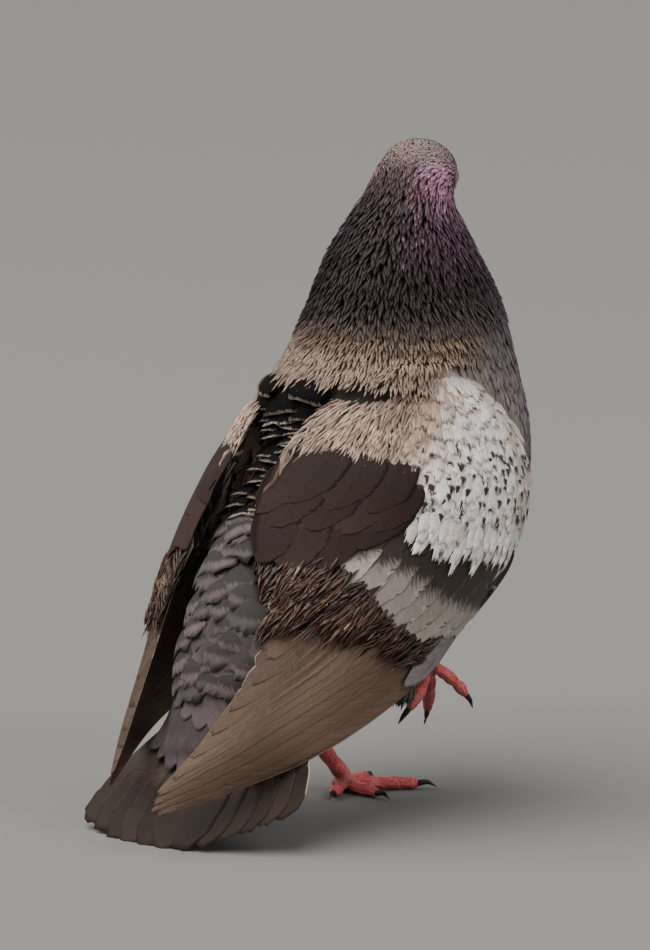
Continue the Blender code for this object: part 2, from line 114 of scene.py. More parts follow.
def plain_finish(name, colour, roughness):
    """A material with one Principled shader; returns it with its node tree and shader."""
    made = bpy.data.materials.new(name)
    made.use_nodes = True
    shader = made.node_tree.nodes["Principled BSDF"]
    shader.inputs["Base Color"].default_value = (*colour, 1)
    shader.inputs["Roughness"].default_value = roughness
    return made, made.node_tree, shader


FLOOR_HALF = 12.0
floor = new_mesh_object(
    "floor",
    [(x * FLOOR_HALF, y * FLOOR_HALF, 0) for x, y in ((-1, -1), (1, -1), (1, 1), (-1, 1))],
    [(0, 1, 2, 3)],
)
floor.data.materials.append(plain_finish("pale studio floor", (0.256, 0.249, 0.232), 0.9)[0])

TURN, TILT = math.radians(39), math.radians(9)
CAMERA_FAR, PICTURE_TALL = 2.6, 0.38  # metres: camera to bird, and height of the view at the bird
image_right = Vector((-math.cos(TURN), -math.sin(TURN), 0))
looking = Vector((math.sin(TURN) * math.cos(TILT), -math.cos(TURN) * math.cos(TILT), -math.sin(TILT)))
image_up = image_right.cross(looking)
view_middle = at(0, 0, 0) - 0.0286 * image_right + 0.1264 * image_up
camera = placed("camera", bpy.data.cameras.new("camera"))
camera.data.lens = 36 * CAMERA_FAR / PICTURE_TALL
camera.location = view_middle - looking * CAMERA_FAR
camera.rotation_euler = looking.to_track_quat("-Z", "Y").to_euler()
bpy.context.scene.camera = camera

# place and power of each side light, aimed at the bird's back
for name, place, power in (("left side", (1.9, 0.5, 1.2), 8), ("right side", (-1.7, -0.2, 1.4), 11)):
    lamp = placed(name, bpy.data.lights.new(name, "AREA"))
    lamp.data.size = 1.0
    lamp.data.energy = power
    lamp.location = place
    lamp.rotation_euler = (at(0, -4, 13) - Vector(place)).to_track_quat("-Z", "Y").to_euler()
sky = placed("sky", bpy.data.lights.new("sky", "SUN"))
sky.data.energy = 3.6
sky.data.angle = math.radians(75)
sky.data.color = (1.0, 0.965, 0.925)
sky.rotation_euler = Vector((-0.22, -0.52, -1.0)).to_track_quat("-Z", "Y").to_euler()
world = bpy.data.worlds.new("studio air")
world.use_nodes = True
world.node_tree.nodes["Background"].inputs["Color"].default_value = (0.60, 0.62, 0.64, 1)
world.node_tree.nodes["Background"].inputs["Strength"].default_value = 0.42
bpy.context.scene.world = world

# ---------------------------------------------------------------- skin
# One skin covers head, neck, trunk, rump, thighs and the arms of the folded wings, a few millimetres inside
# the solids. It is bare under the feathers and takes their colours, darkened, so that gaps read as shade.


def merged_copy(name, nodes):
    """The meshes of some CAD nodes in one new object, their doubled corners merged."""
    bm = bmesh.new()
    for node in nodes:
        bm.from_mesh(frame["nodes"][node].data)
    bmesh.ops.remove_doubles(bm, verts=bm.verts, dist=1e-6)
    bmesh.ops.recalc_face_normals(bm, faces=bm.faces)
    mesh = bpy.data.meshes.new(name)
    bm.to_mesh(mesh)
    bm.free()
    mesh.materials.clear()
    return placed(name, mesh)


def applied(obj):
    """obj as a plain mesh with its modifiers applied."""
    bpy.context.view_layer.update()
    graph = bpy.context.evaluated_depsgraph_get()
    mesh = bpy.data.meshes.new_from_object(obj.evaluated_get(graph))
    old = obj.data
    obj.modifiers.clear()
    obj.data = mesh
    bpy.data.meshes.remove(old)
    return obj


def fused(name, nodes, swell, voxel, rounds, shrink):
    """CAD nodes swollen a little so that they meet, made one smooth skin, then shrunk to a depth."""
    obj = merged_copy(name, nodes)
    push = obj.modifiers.new("swell", "DISPLACE")
    push.strength = swell
    push.mid_level = 0.0
    cells = obj.modifiers.new("one skin", "REMESH")
    cells.mode = "VOXEL"
    cells.voxel_size = voxel
    soft = obj.modifiers.new("soft", "SMOOTH")
    soft.iterations = rounds
    soft.factor = 0.5
    pull = obj.modifiers.new("shrink", "DISPLACE")
    pull.strength = -(swell + shrink)
    pull.mid_level = 0.0
    applied(obj)
    obj.data.shade_smooth()
    return obj


def smooth(rows, t):
    """The value at t on a smooth curve through equally spaced rows (t counts rows from 0)."""
    rows = np.asarray(rows, float)
    t = min(max(t, 0.0), len(rows) - 1.0)
    i = min(int(t), len(rows) - 2)
    f = t - i
    before, after = rows[max(i - 1, 0)], rows[min(i + 2, len(rows) - 1)]
    here, there = rows[i], rows[i + 1]
    b, c = there - before, 2 * before - 5 * here + 4 * there - after
    d = 3 * (here - there) + after - before
    return (2 * here + b * f + c * f * f + d * f**3) / 2


def corners_of(obj):
    """The places of an object's corners and the ways out there, one row each."""
    vertices = obj.data.vertices
    return np.array([v.co for v in vertices]), np.array([v.normal for v in vertices])


def tree_of(obj):
    """The surface of an object, for finding the nearest place on it."""
    return BVHTree.FromPolygons(corners_of(obj)[0].tolist(), [tuple(p.vertices) for p in obj.data.polygons])


FLESH = ("head", "neck", "trunk", "rump", "thigh_left", "thigh_right")
ARMS = ("wing_left_shield", "wing_right_shield")
SKIN_CELL, SKIN_SWELL, SKIN_ROUNDS = 0.0020, 0.0005, 6
outline = fused("outline", FLESH, SKIN_SWELL, SKIN_CELL, SKIN_ROUNDS, 0.0)
outline_tree = tree_of(outline)
COAT_DEPTH = 0.0022
skin = fused("skin", FLESH + ARMS, SKIN_SWELL, SKIN_CELL, SKIN_ROUNDS, COAT_DEPTH)

# The spine, as forward and up in cm at equal steps from the crown to the ends of the tail coverts.
SPINE = ((1.20, 26.15), (1.05, 24.90), (0.30, 21.70), (0.35, 17.80), (-0.80, 13.30), (-3.50, 9.40),
         (-7.0, 6.8), (-10.1, 4.2))  # fmt: skip
SPINE_STEP, SPINE_END = 2.0, 14.0  # places along the body go from 0 to the end, so many for each row here
spine_at = np.linspace(0, SPINE_END, 141)
spine_points = np.array([at(0, *smooth(SPINE, s / SPINE_STEP)) for s in spine_at])
spine_ways = np.gradient(spine_points, axis=0)
spine_ways /= np.linalg.norm(spine_ways, axis=1)[:, None]


def along_spine(places):
    """For each place: how far down the body it is, the body's way there, and its turn about the spine.
    The turn is 0 on the back, +1 half way round on the right, and 2 or -2 on the breast."""
    found, ways, turns = [], [], []
    for part in np.array_split(places, max(1, len(places) // 2000)):
        gap = ((part[:, None, :] - spine_points[None]) ** 2).sum(2)
        best = gap.argmin(1)
        way = spine_ways[best]
        out = part - spine_points[best]
        right = np.array((-1.0, 0.0, 0.0))
        back = np.cross(way, right)
        back /= np.linalg.norm(back, axis=1)[:, None]
        back *= np.where(back[:, 1:2] < 0, -1, 1)
        turn = np.arctan2(out @ right, (out * back).sum(1)) / (math.pi / 2)
        found.append(spine_at[best])
        ways.append(way)
        turns.append(turn)
    return np.concatenate(found), np.concatenate(ways), np.concatenate(turns)


def body_map(places):
    """An unwrap of the body's own shape: turn about the spine across, place along it upwards."""
    down, _, turn = along_spine(places)
    return np.stack([0.5 + turn * 0.24, 0.98 - down / SPINE_END * 0.95], 1)


def spot_at(place):
    """The same for one place."""
    return body_map(place[None])[0]


# The head's middle in cm, and how it is turned to the left and nodded, in degrees.
HEAD_AT, HEAD_TURN, HEAD_NOD = (0.05, 1.40, 24.75), 24, 10
head_turned = Matrix.Rotation(math.radians(HEAD_TURN), 4, "Z")
head_turned = head_turned @ Matrix.Rotation(math.radians(HEAD_NOD), 4, "X")
head_place = Matrix.Translation(at(*HEAD_AT)) @ head_turned
bill_root = np.array(head_place @ Vector((0, -2.4 * CM, -0.3 * CM)))

# ---------------------------------------------------------------- feathers in general
# A contour feather is a thin vane with a raised shaft and barbs that run out from it towards the tip. Each is
# one small closed body rooted in the skin. Its root, way, size, bend and colours are worked out one by one.


def give(mesh, key, values, kind="FLOAT"):
    """Writes an attribute of a mesh's corners."""
    field = "vector" if kind == "FLOAT_VECTOR" else "value"
    mesh.attributes.new(key, kind, "POINT").data.foreach_set(field, np.ravel(values))


def face_outward(mesh, merge=0.0):
    """Turns a mesh's faces outward; corners nearer than merge become one first."""
    bm = bmesh.new()
    bm.from_mesh(mesh)
    if merge:
        bmesh.ops.remove_doubles(bm, verts=bm.verts, dist=merge)
    bmesh.ops.recalc_face_normals(bm, faces=bm.faces)
    bm.to_mesh(mesh)
    bm.free()


def grid_faces(rows, columns):
    """The four-cornered faces of a grid whose corners are counted row by row."""
    starts = [i * columns + j for i in range(rows - 1) for j in range(columns - 1)]
    return [(n, n + 1, n + columns + 1, n + columns) for n in starts]


def rim_of(rows, columns):
    """The corners round the edge of such a grid, in order."""
    last = (rows - 1) * columns
    rim = list(range(columns)) + [i * columns + columns - 1 for i in range(1, rows)]
    return rim + list(range(last + columns - 2, last - 1, -1)) + [i * columns for i in range(rows - 2, 0, -1)]


def along_row(values, share):
    """The number at a share (0 to 1) of the way along a row of numbers, on a smooth curve."""
    return smooth([(v,) for v in values], share * (len(values) - 1))[0]


def vane(name, widths, columns, rows, ragged, rounded, seed):
    """A vane one unit long and wide. widths are its breadths from root to tip, ragged breaks its edges."""
    rng = np.random.default_rng(seed)
    points, along, across = [], [], []
    for k in range(rows):
        a = k / (rows - 1)
        breadth = along_row(widths, a)
        for j in range(columns):
            c = 2 * j / (columns - 1) - 1
            x = a - rounded * a * c * c
            if k == rows - 1:
                x += ragged * (rng.random() - 0.5) * 0.30
            edge = 1 - ragged * rng.random() * (0.5 if abs(c) == 1 and k % 2 else 0.1)
            ridge = 0.085 * (1 - c * c) * (1 - 0.5 * a)
            points.append((x, 0.5 * c * breadth * edge, ridge))
            along.append(a)
            across.append(c)
    faces = [face[1:] + face[:1] for face in grid_faces(rows, columns)]
    obj = new_mesh_object(name, points, faces + [rim_of(rows, columns)[::-1]])
    face_outward(obj.data)
    give(obj.data, "along", along)
    give(obj.data, "across", across)
    return obj


# widths from root to tip, columns, rows, raggedness and roundness of each shape, how many unlike vanes there
# are of it, and the number that starts their random draws
SHAPES = {
    "fine": ((0.5, 1.0, 0.9, 0.25), 3, 5, 0.5, 0.10, 3, 1),
    "hackle": ((0.35, 0.8, 1.0, 0.85, 0.18), 3, 7, 0.5, 0.10, 4, 2),
    "soft": ((0.35, 0.9, 1.0, 0.9, 0.55), 5, 6, 0.7, 0.10, 5, 3),
    "wispy": ((0.4, 0.8, 1.0, 0.9, 0.5), 5, 6, 1.1, 0.10, 6, 4),
    "strand": ((0.5, 1.0, 0.9, 0.6, 0.15), 3, 6, 0.8, 0.10, 4, 5),
    "plate": ((0.5, 0.9, 1.0, 1.0, 0.95), 9, 6, 0.30, 0.14, 4, 7),
    "fringed": ((0.3, 0.7, 0.95, 1.0, 0.85), 11, 8, 1.0, 0.20, 6, 8),
}
vane_shelf = bpy.data.collections.new("vanes")
bpy.context.scene.collection.children.link(vane_shelf)
kinds = {}
for shape, (*form, unlike, seed) in SHAPES.items():
    kinds[shape] = (len(vane_shelf.objects), unlike)
    for n in range(unlike):
        made = vane(f"vane_{len(vane_shelf.objects):02d}", *form, 10 * n + seed)
        bpy.context.scene.collection.objects.unlink(made)
        vane_shelf.objects.link(made)


class Wire:
    """A value that a node tree works out. Sums, products and powers of wires add Math nodes to the tree."""

    def __init__(self, socket):
        self.socket = socket

    def maths(self, operation, *given):
        """The wire from a Math node on the given wires or numbers."""
        return wire(self.socket.id_data, "ShaderNodeMath", 0, dict(enumerate(given)), operation=operation)

    def __add__(self, other):
        return self.maths("ADD", self, other)

    def __sub__(self, other):
        return self.maths("SUBTRACT", self, other)

    def __rsub__(self, other):
        return self.maths("SUBTRACT", other, self)

    def __mul__(self, other):
        return self.maths("MULTIPLY", self, other)

    def __pow__(self, other):
        return self.maths("POWER", self, other)

    def __abs__(self):
        return self.maths("ABSOLUTE", self)

    def clamped(self):
        """The same, kept from 0 to 1."""
        self.socket.node.use_clamp = True
        return self


def feed(node, inputs):
    """Gives a node's inputs their values, or joins them to wires."""
    for key, value in inputs.items():
        if isinstance(value, Wire):
            node.id_data.links.new(value.socket, node.inputs[key])
        else:
            node.inputs[key].default_value = value


def wire(tree, kind, output, inputs=None, **settings):
    """The wire from an output of a new node, its settings made and its inputs fed."""
    node = tree.nodes.new(kind)
    for key, value in settings.items():
        setattr(node, key, value)
    feed(node, inputs or {})
    return Wire(node.outputs[output])


def planting_tree():
    """Geometry Nodes that plant a vane on every point and bend it over the body."""
    tree = bpy.data.node_groups.new("plant feathers", "GeometryNodeTree")
    for name, way, kind in (("Roots", "INPUT", "Geometry"), ("Vanes", "INPUT", "Collection"),
                            ("Feathers", "OUTPUT", "Geometry")):  # fmt: skip
        tree.interface.new_socket(name, in_out=way, socket_type=f"NodeSocket{kind}")

    def named(key, kind="FLOAT"):
        return wire(tree, "GeometryNodeInputNamedAttribute", "Attribute", {"Name": key}, data_type=kind)

    start = tree.nodes.new("NodeGroupInput").outputs
    shelf = {"Collection": Wire(start["Vanes"]), "Separate Children": True, "Reset Children": True}
    up, wide, along = named("up", "FLOAT_VECTOR"), named("wide"), named("along")
    axes = {"Primary Axis": named("way", "FLOAT_VECTOR"), "Secondary Axis": up}
    planting = {
        "Points": Wire(start["Roots"]),
        "Instance": wire(tree, "GeometryNodeCollectionInfo", "Instances", shelf),
        "Pick Instance": True,
        "Instance Index": named("kind", "INT"),
        "Rotation": wire(tree, "FunctionNodeAxesToRotation", 0, axes, primary_axis="X", secondary_axis="Z"),
        "Scale": wire(tree, "ShaderNodeCombineXYZ", 0, {"X": named("long"), "Y": wide, "Z": wide}),
    }
    planted = wire(tree, "GeometryNodeInstanceOnPoints", 0, planting)
    real = wire(tree, "GeometryNodeRealizeInstances", 0, {"Geometry": planted})
    # the bend: a bow that is highest half way along, and edges that droop round the body
    bend = along * (1.0 - along) * named("bow") * 4.0 - abs(named("across")) ** 2.0 * named("cup")
    shift = wire(tree, "ShaderNodeVectorMath", 0, {0: up, "Scale": bend}, operation="SCALE")
    bent = wire(tree, "GeometryNodeSetPosition", 0, {"Geometry": real, "Offset": shift})
    feed(tree.nodes.new("NodeGroupOutput"), {"Feathers": bent})
    return tree


plant_feathers = planting_tree()


def bake_map(mesh, places):
    """Makes a mesh's bake map from each corner's place on it."""
    corner = np.empty(len(mesh.loops), int)
    mesh.loops.foreach_get("vertex_index", corner)
    mesh.uv_layers.new(name="OFBake").uv.foreach_set("vector", places[corner].astype(np.float32).ravel())


PATCH = 0.0030  # how large one feather is on the coat's bake map, which is one unit wide


def bake_patches(mesh):
    """The coat's bake map: every feather is a small patch at its root's place on the unwrap of the skin."""

    def written(key, field, size):
        values = np.empty(len(mesh.vertices) * size)
        mesh.attributes[key].data.foreach_get(field, values)
        return values.reshape(-1, size)

    local = np.concatenate([written("across", "value", 1) * 0.5, written("along", "value", 1)], 1)
    bake_map(mesh, (written("spot", "vector", 3)[:, :2] + local * PATCH).clip(0.0005, 0.9995))


def dress(obj, look, slot, *nodes):
    """Gives a piece its material, fixes it to the root body and hides the CAD nodes it stands in for.
    slot is not used.
    """
    obj.data.materials.clear()
    obj.data.materials.append(look)
    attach(obj, "root")
    if nodes:
        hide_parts(*nodes)


def plant_piece(name, feathers, material, slot):
    """Makes one coat piece from feather records."""
    obj = new_mesh_object(name, [f["root"] for f in feathers], [])
    for key in ("long", "wide", "bow", "cup", "chance", "speck", "turn"):
        give(obj.data, key, [f[key] for f in feathers])
    for key in ("way", "up", "tint", "tip", "spot"):
        give(obj.data, key, [f[key] for f in feathers], "FLOAT_VECTOR")
    give(obj.data, "kind", [f["kind"] for f in feathers], "INT")
    step = obj.modifiers.new("plant", "NODES")
    step.node_group = plant_feathers
    vanes = next(item for item in plant_feathers.interface.items_tree if item.name == "Vanes")
    step[vanes.identifier] = vane_shelf
    applied(obj)
    obj.data.shade_smooth()
    bake_patches(obj.data)
    dress(obj, material, slot)


PIECE_LIMIT = 185000  # triangles in one coat piece


def plant(name, feathers, material, slot):
    """Plants a list of feather records on the bird, as one coat piece or as several where there are many."""
    vanes = sorted(vane_shelf.objects, key=lambda o: o.name)
    sizes = [sum(len(p.vertices) - 2 for p in v.data.polygons) for v in vanes]
    parts = sum(sizes[f["kind"]] for f in feathers) // PIECE_LIMIT + 1
    share = -(-len(feathers) // parts)
    for n in range(parts):
        piece = name if parts == 1 else f"{name}_{n + 1}"
        plant_piece(piece, feathers[n * share : (n + 1) * share], material, slot)


def flat(way, normal):
    """A way laid flat on a surface that has this way out, one unit long."""
    way = way - normal * (way @ normal)
    return way / np.linalg.norm(way)


rng = np.random.default_rng(7)
CUP_ROUND = 0.36  # metres: eight times the radius of the body that a vane's edges bend round


def feather(shape, p0, p1, p2, up, wide, tint, tip, spot, **more):
    """The record of a feather whose middle line runs through three places, root first."""
    chord = p2 - p0
    long = np.linalg.norm(chord)
    way = chord / long
    up = flat(up, way)
    first, unlike = kinds[shape]
    record = {
        "root": p0, "long": long, "wide": wide, "way": way, "up": up, "bow": float((p1 - (p0 + p2) / 2) @ up),
        "cup": wide * wide / CUP_ROUND, "kind": first + int(rng.integers(unlike)), "tint": tint, "tip": tip,
        "spot": (spot[0], spot[1], 0.0), "chance": rng.random(), "speck": 0.0, "turn": 0.85,
    }  # fmt: skip
    record.update(more)
    return record


def read(tree, key, what="Fac"):
    """The wire that says what a piece's attribute is."""
    return wire(tree, "ShaderNodeAttribute", what, attribute_name=key)


def blend(tree, factor, one, two, kind="MIX"):
    """The wire of one colour blended with another."""
    return wire(tree, "ShaderNodeMix", 2, {0: factor, 6: one, 7: two}, data_type="RGBA", blend_type=kind)


def relief(tree, height, distance, strength=1.0):
    """The wire of fine relief, from the wire of its height."""
    return wire(tree, "ShaderNodeBump", 0, {"Strength": strength, "Distance": distance, "Height": height})


def plume_finish(
    name, roughness=0.62, barbs=0.35, sheen=0.15, bump=0.5, glint=0.35, rim=None, shaft="3f3833"
):
    """Feather material: colour from root to tip, darkened towards the root as painted shade where feathers
    overlap, a fine shaft, barb streaks, and a spot where there is one.
    rim is the colour of the pale edge of a flight feather, partly its own paler margin and partly a painted
    highlight along the edge."""
    made, tree, shader = plain_finish(name, (0.3, 0.3, 0.3), roughness)
    along, across, long, wide, chance, turn, speck = (
        read(tree, key) for key in ("along", "across", "long", "wide", "chance", "turn", "speck")
    )
    out = abs(across)
    side = out * wide * 0.5
    barb = along * long - side * 1.3
    place = {"X": barb * 1250.0, "Y": across * wide * 150.0, "Z": chance * 61.0}
    fibres = {"Vector": wire(tree, "ShaderNodeCombineXYZ", 0, place), "Scale": 1.0, "Detail": 2.0}
    streaks = wire(tree, "ShaderNodeTexNoise", "Fac", fibres)
    wobble = (streaks - 0.5) * 0.24
    end = ((along + wobble - turn) * 9.0 + 0.5).clamped()
    colour = blend(tree, end, read(tree, "tint", "Color"), read(tree, "tip", "Color"))
    # barb streaks, a random tone for each feather, and painted shade that darkens each feather towards its
    # root
    light = ((streaks - 0.5) * (2 * barbs) + 1.0) * (chance * 0.30 + 0.85) * (along * 0.45 + 0.68)
    grey = wire(tree, "ShaderNodeCombineColor", 0, {key: light for key in ("Red", "Green", "Blue")})
    colour = blend(tree, 1.0, colour, grey, "MULTIPLY")
    near = (1.0 - out.maths("MAXIMUM", side * 5200.0, out * 10.0)).clamped()
    colour = blend(tree, near * 0.35, colour, paint(shaft))
    spread = ((along - 0.87) * 7.0) ** 2.0 + (out * 1.5) ** 2.0 + wobble * 5.0
    spot = ((1.0 - spread).clamped() * speck * 1.6).clamped()
    colour = blend(tree, spot, colour, paint("3d2a24"))
    # the pale edge: partly the feather's own paler margin, partly painted highlight
    if rim:
        edge = ((out * out - 0.87) * 9.0).clamped()
        colour = blend(tree, (edge * read(tree, "rim")).clamped(), colour, paint(rim))
    feed(shader, {"Base Color": colour, "Normal": relief(tree, streaks, 0.0002, bump), "Sheen Weight": sheen,
                  "Sheen Roughness": 0.5, "Specular IOR Level": glint})  # fmt: skip
    return made


plumage = plume_finish("soft plumage", sheen=0.12, barbs=0.6)
dark_plumage = plume_finish("dark glossy plumage", roughness=0.5, barbs=0.6, sheen=0.0, glint=0.25)
matt_plumage = plume_finish("matt back plumage", roughness=0.8, barbs=0.5, sheen=0.0, glint=0.08)
wet_plumage = plume_finish("wet ruffled plumage", roughness=0.34, barbs=0.8, sheen=0.0, glint=0.5)

# ---------------------------------------------------------------- folded wings, their shape
# Each wing lies on the body as a curved shield that narrows to the folded flight feathers. A place on it is
# counted in rows from the shoulder (0) to the tip (7), and across from the inner edge (0) to the outer (1).

# the inner and the outer edge, as (out from the middle, forward, up) in cm, and how far the wing bulges
WINGS = {
    "right": {
        "inner": ((2.4, -2.9, 17.8), (0.7, -5.6, 16.2), (-0.1, -7.4, 14.0), (-0.1, -8.6, 11.6),
                  (0.9, -9.5, 9.2), (1.6, -11.0, 6.9), (1.2, -13.3, 4.4), (0.3, -15.6, 2.2)),
        "outer": ((3.7, -1.3, 17.7), (5.1, 0.5, 15.6), (5.7, 1.2, 12.9), (5.6, 0.2, 10.3), (5.2, -2.4, 7.8),
                  (4.8, -5.7, 5.4), (3.8, -10.7, 3.35), (0.9, -15.4, 1.7)),
        "bulge": (0.4, 1.9, 3.1, 3.2, 2.6, 1.6, 0.7, 0.05),
        "round": 0.85,
    },
    "left": {
        "inner": ((2.9, -3.6, 16.6), (2.6, -5.6, 15.7), (2.8, -6.8, 13.9), (3.3, -8.0, 11.6),
                  (3.7, -9.2, 9.2), (3.7, -10.6, 6.6), (3.2, -12.7, 3.9), (2.4, -14.6, 2.6)),
        "outer": ((4.0, -1.8, 16.6), (5.0, 0.3, 15.3), (5.6, 1.2, 12.9), (5.6, 0.4, 10.2), (5.4, -1.9, 7.6),
                  (5.0, -5.5, 5.3), (4.4, -10.0, 3.5), (2.7, -14.3, 2.15)),
        "bulge": (0.2, 0.9, 1.5, 1.8, 1.6, 1.1, 0.55, 0.05),
        "round": 0.5,
    },
}  # fmt: skip
WING_ROWS, ROW_STEPS, CROSS_STEPS = 7, 12, 24


def wing_section(word, t):
    """Places across a wing at t rows from the shoulder, and its width, in metres."""
    wing, side = WINGS[word], 1 if word == "right" else -1
    inner, outer = smooth(wing["inner"], t), smooth(wing["outer"], t)
    ahead = smooth(wing["inner"], t + 0.05) + smooth(wing["outer"], t + 0.05)
    behind = smooth(wing["inner"], t - 0.05) + smooth(wing["outer"], t - 0.05)
    out = -np.cross(outer - inner, ahead - behind)
    out /= np.linalg.norm(out)
    bulge = smooth([(b,) for b in wing["bulge"]], t)[0]
    places = []
    for k in range(CROSS_STEPS + 1):
        q = k / CROSS_STEPS
        right, forward, up = inner + (outer - inner) * q + out * bulge * (4 * q * (1 - q)) ** wing["round"]
        places.append(at(side * right, forward, up))
    return np.array(places), np.linalg.norm(outer - inner) * CM


wing_places, wing_outs, wing_widths = {}, {}, {}
for word in WINGS:
    sections = [wing_section(word, k / ROW_STEPS) for k in range(WING_ROWS * ROW_STEPS + 1)]
    places = np.array([s[0] for s in sections])
    down, over = np.gradient(places, axis=0), np.gradient(places, axis=1)
    outs = np.cross(down, over)
    outs *= np.sign((outs * (places - np.array(at(0, -3, 10)))).sum())
    outs /= np.linalg.norm(outs, axis=2)[:, :, None] + 1e-12
    wing_places[word], wing_outs[word] = places, outs
    wing_widths[word] = np.array([s[1] for s in sections])


def on_wing(word, t, q):
    """The place on the wing's outer face at t rows and q across, and the way out of it."""
    x = min(max(t, 0.0), WING_ROWS - 1e-6) * ROW_STEPS
    y = min(max(q, 0.0), 1 - 1e-6) * CROSS_STEPS
    i, j = int(x), int(y)
    f, g = x - i, y - j
    found = []
    for grid in (wing_places[word], wing_outs[word]):
        one = grid[i, j] * (1 - g) + grid[i, j + 1] * g
        two = grid[i + 1, j] * (1 - g) + grid[i + 1, j + 1] * g
        found.append(one * (1 - f) + two * f)
    return found[0], found[1] / np.linalg.norm(found[1])


def wing_width(word, t):
    """The wing's breadth in metres at t rows."""
    return np.interp(min(max(t, 0), WING_ROWS) * ROW_STEPS, range(len(wing_widths[word])), wing_widths[word])


def wing_feather(shape, word, t, q, long, wide, tint, tip, drift=0.0, sink=0.0012, proud=0.0006, **more):
    """A feather rooted on a wing that lies along it, drifting outward by an angle in degrees."""
    p0, n0 = on_wing(word, t, q)
    ahead, _ = on_wing(word, t + 0.1, q)
    pace = np.linalg.norm(ahead - p0) / 0.1
    turn = math.radians(drift)
    dt, dq = long * math.cos(turn) / pace, long * math.sin(turn) / wing_width(word, t)
    p1, n1 = on_wing(word, t + dt / 2, q + dq / 2)
    p2, n2 = on_wing(word, t + dt, q + dq)
    spot = (0.02 + 0.96 * min(max(q, 0), 1), 0.98 - 0.13 * t)
    p0, p1, p2 = p0 - n0 * sink, p1 + n1 * (0.6 * proud - 0.2 * sink), p2 + n2 * proud
    return feather(shape, p0, p1, p2, n1, wide, tint, tip, spot, **more)


wing_trees = {
    word: BVHTree.FromPolygons(places.reshape(-1, 3).tolist(), grid_faces(*places.shape[:2]))
    for word, places in wing_places.items()
}


def jitter(colour, amount):
    """A colour made a little lighter or darker, and warmer or cooler, at random."""
    shade = 1 + amount * (rng.random() * 2 - 1)
    warm = 1 + 0.25 * amount * (rng.random() * 2 - 1)
    return np.clip(colour * shade * np.array((warm, 1.0, 1 / warm)), 0, 1)


def lit(colour, times):
    """A colour made so many times as light."""
    return np.clip(colour * times, 0, 1)


# ---------------------------------------------------------------- body plumage
# Head, neck, breast, belly, flanks and thighs carry small feathers that lie from the bill to the tail, tiny
# on the face, narrow and pointed on the neck, and broad and soft below.

# colours down the back, the side and the front of the body: place along the spine, colour
# The paler crown and the pink on the sides of the nape are painted sheen; the purple and green on the neck
# and breast are the plumage's iridescence, painted in as fixed colour.
BACK = ((0, "a08c84"), (1.3, "948079"), (2.0, "5c4a49"), (2.7, "453738"), (4.7, "34282a"), (5.15, "54473e"),
        (5.5, "74614f"), (6.0, "a18b7a"), (7.4, "9a8573"), (8.6, "675b57"), (10.0, "796f74"),
        (14.0, "807780"))  # fmt: skip
SIDE = ((0, "a5938e"), (1.4, "98847f"), (1.8, "c497ae"), (2.4, "b4829b"), (3.0, "634857"), (4.4, "3b2c30"),
        (5.6, "6b5f60"), (6.4, "94857f"), (9.0, "716b68"), (14.0, "77737b"))  # fmt: skip
FRONT = ((0, "79716f"), (1.4, "6c6368"), (2.4, "4c5852"), (4.0, "4d4852"), (5.5, "5d4d5b"), (7.0, "68606b"),
         (9.0, "716f78"), (14.0, "76757d"))  # fmt: skip


def ramp(rows, s):
    """The colour at s along a list of places and colours."""
    keys = [r[0] for r in rows]
    shades = np.array([srgb(r[1]) for r in rows])
    return np.array([np.interp(s, keys, shades[:, k]) for k in range(3)])


def ease(x, start, span):
    """How far x has come, from 0 at the start to 1 a span later."""
    return min(max((x - start) / span, 0), 1)


def body_colour(s, turn):
    """The plumage colour at a place along the spine and a turn about it."""
    turn = min(abs(turn), 2.0)
    back, side, front = ramp(BACK, s), ramp(SIDE, s), ramp(FRONT, s)
    low = ease(turn, 0.35, 0.55)
    far = ease(turn, 1.15, 0.5)
    return (back * (1 - low) + side * low) * (1 - far) + front * far


def measured(obj):
    """Corners, their normals, triangles, the triangles' areas, and their places and turns along the spine."""
    corners, normals = corners_of(obj)
    obj.data.calc_loop_triangles()
    triangles = np.array([t.vertices for t in obj.data.loop_triangles])
    one, two, three = (corners[triangles[:, k]] for k in range(3))
    areas = np.linalg.norm(np.cross(two - one, three - one), axis=1) / 2
    down, _, turn = along_spine((one + two + three) / 3)
    return corners, normals, triangles, areas, down, turn


outline_parts, skin_parts = measured(outline), measured(skin)


def spread(parts, chosen, spacing):
    """Places and normals spread evenly over the chosen triangles, none nearer than the spacing."""
    corners, corner_normals, triangles, areas, _, _ = parts
    weight = areas * chosen
    count = int(weight.sum() / spacing**2 * 5)
    pick = rng.choice(len(triangles), size=count, p=weight / weight.sum())
    r1, r2 = np.sqrt(rng.random(count)), rng.random(count)
    share = np.stack([1 - r1, r1 * (1 - r2), r1 * r2], 1)[:, :, None]
    places = (corners[triangles[pick]] * share).sum(1)
    normals = (corner_normals[triangles[pick]] * share).sum(1)
    cells, kept = {}, []
    keys = np.floor(places / spacing).astype(int)
    around = [(a, b, c) for a in (-1, 0, 1) for b in (-1, 0, 1) for c in (-1, 0, 1)]
    for n in range(count):
        x, y, z = keys[n]
        near = [m for a, b, c in around for m in cells.get((x + a, y + b, z + c), ())]
        if near and (((places[near] - places[n]) ** 2).sum(1) < spacing**2).any():
            continue
        cells.setdefault((x, y, z), []).append(n)
        kept.append(n)
    return places[kept], normals[kept] / np.linalg.norm(normals[kept], axis=1)[:, None]


def covered(place, normal, reach=0.022):
    """Whether a wing lies over this place of the body."""
    hits = (wing_trees[word].ray_cast(Vector(place), Vector(normal), reach) for word in WINGS)
    return any(hit[0] is not None for hit in hits)


def lie(place, normal, s, way):
    """The way the coat lies at a place: back from the bill on the head, and down the body below it."""
    head = place - bill_root
    head /= np.linalg.norm(head)
    share = ease(s, 1.6, 1.6)
    return flat(head * (1 - share) + way * share, normal)


def nearest(tree, place):
    """The nearest place on a surface, and the way out there."""
    hit, normal, _, _ = tree.find_nearest(Vector(place))
    return np.array(hit), np.array(normal)


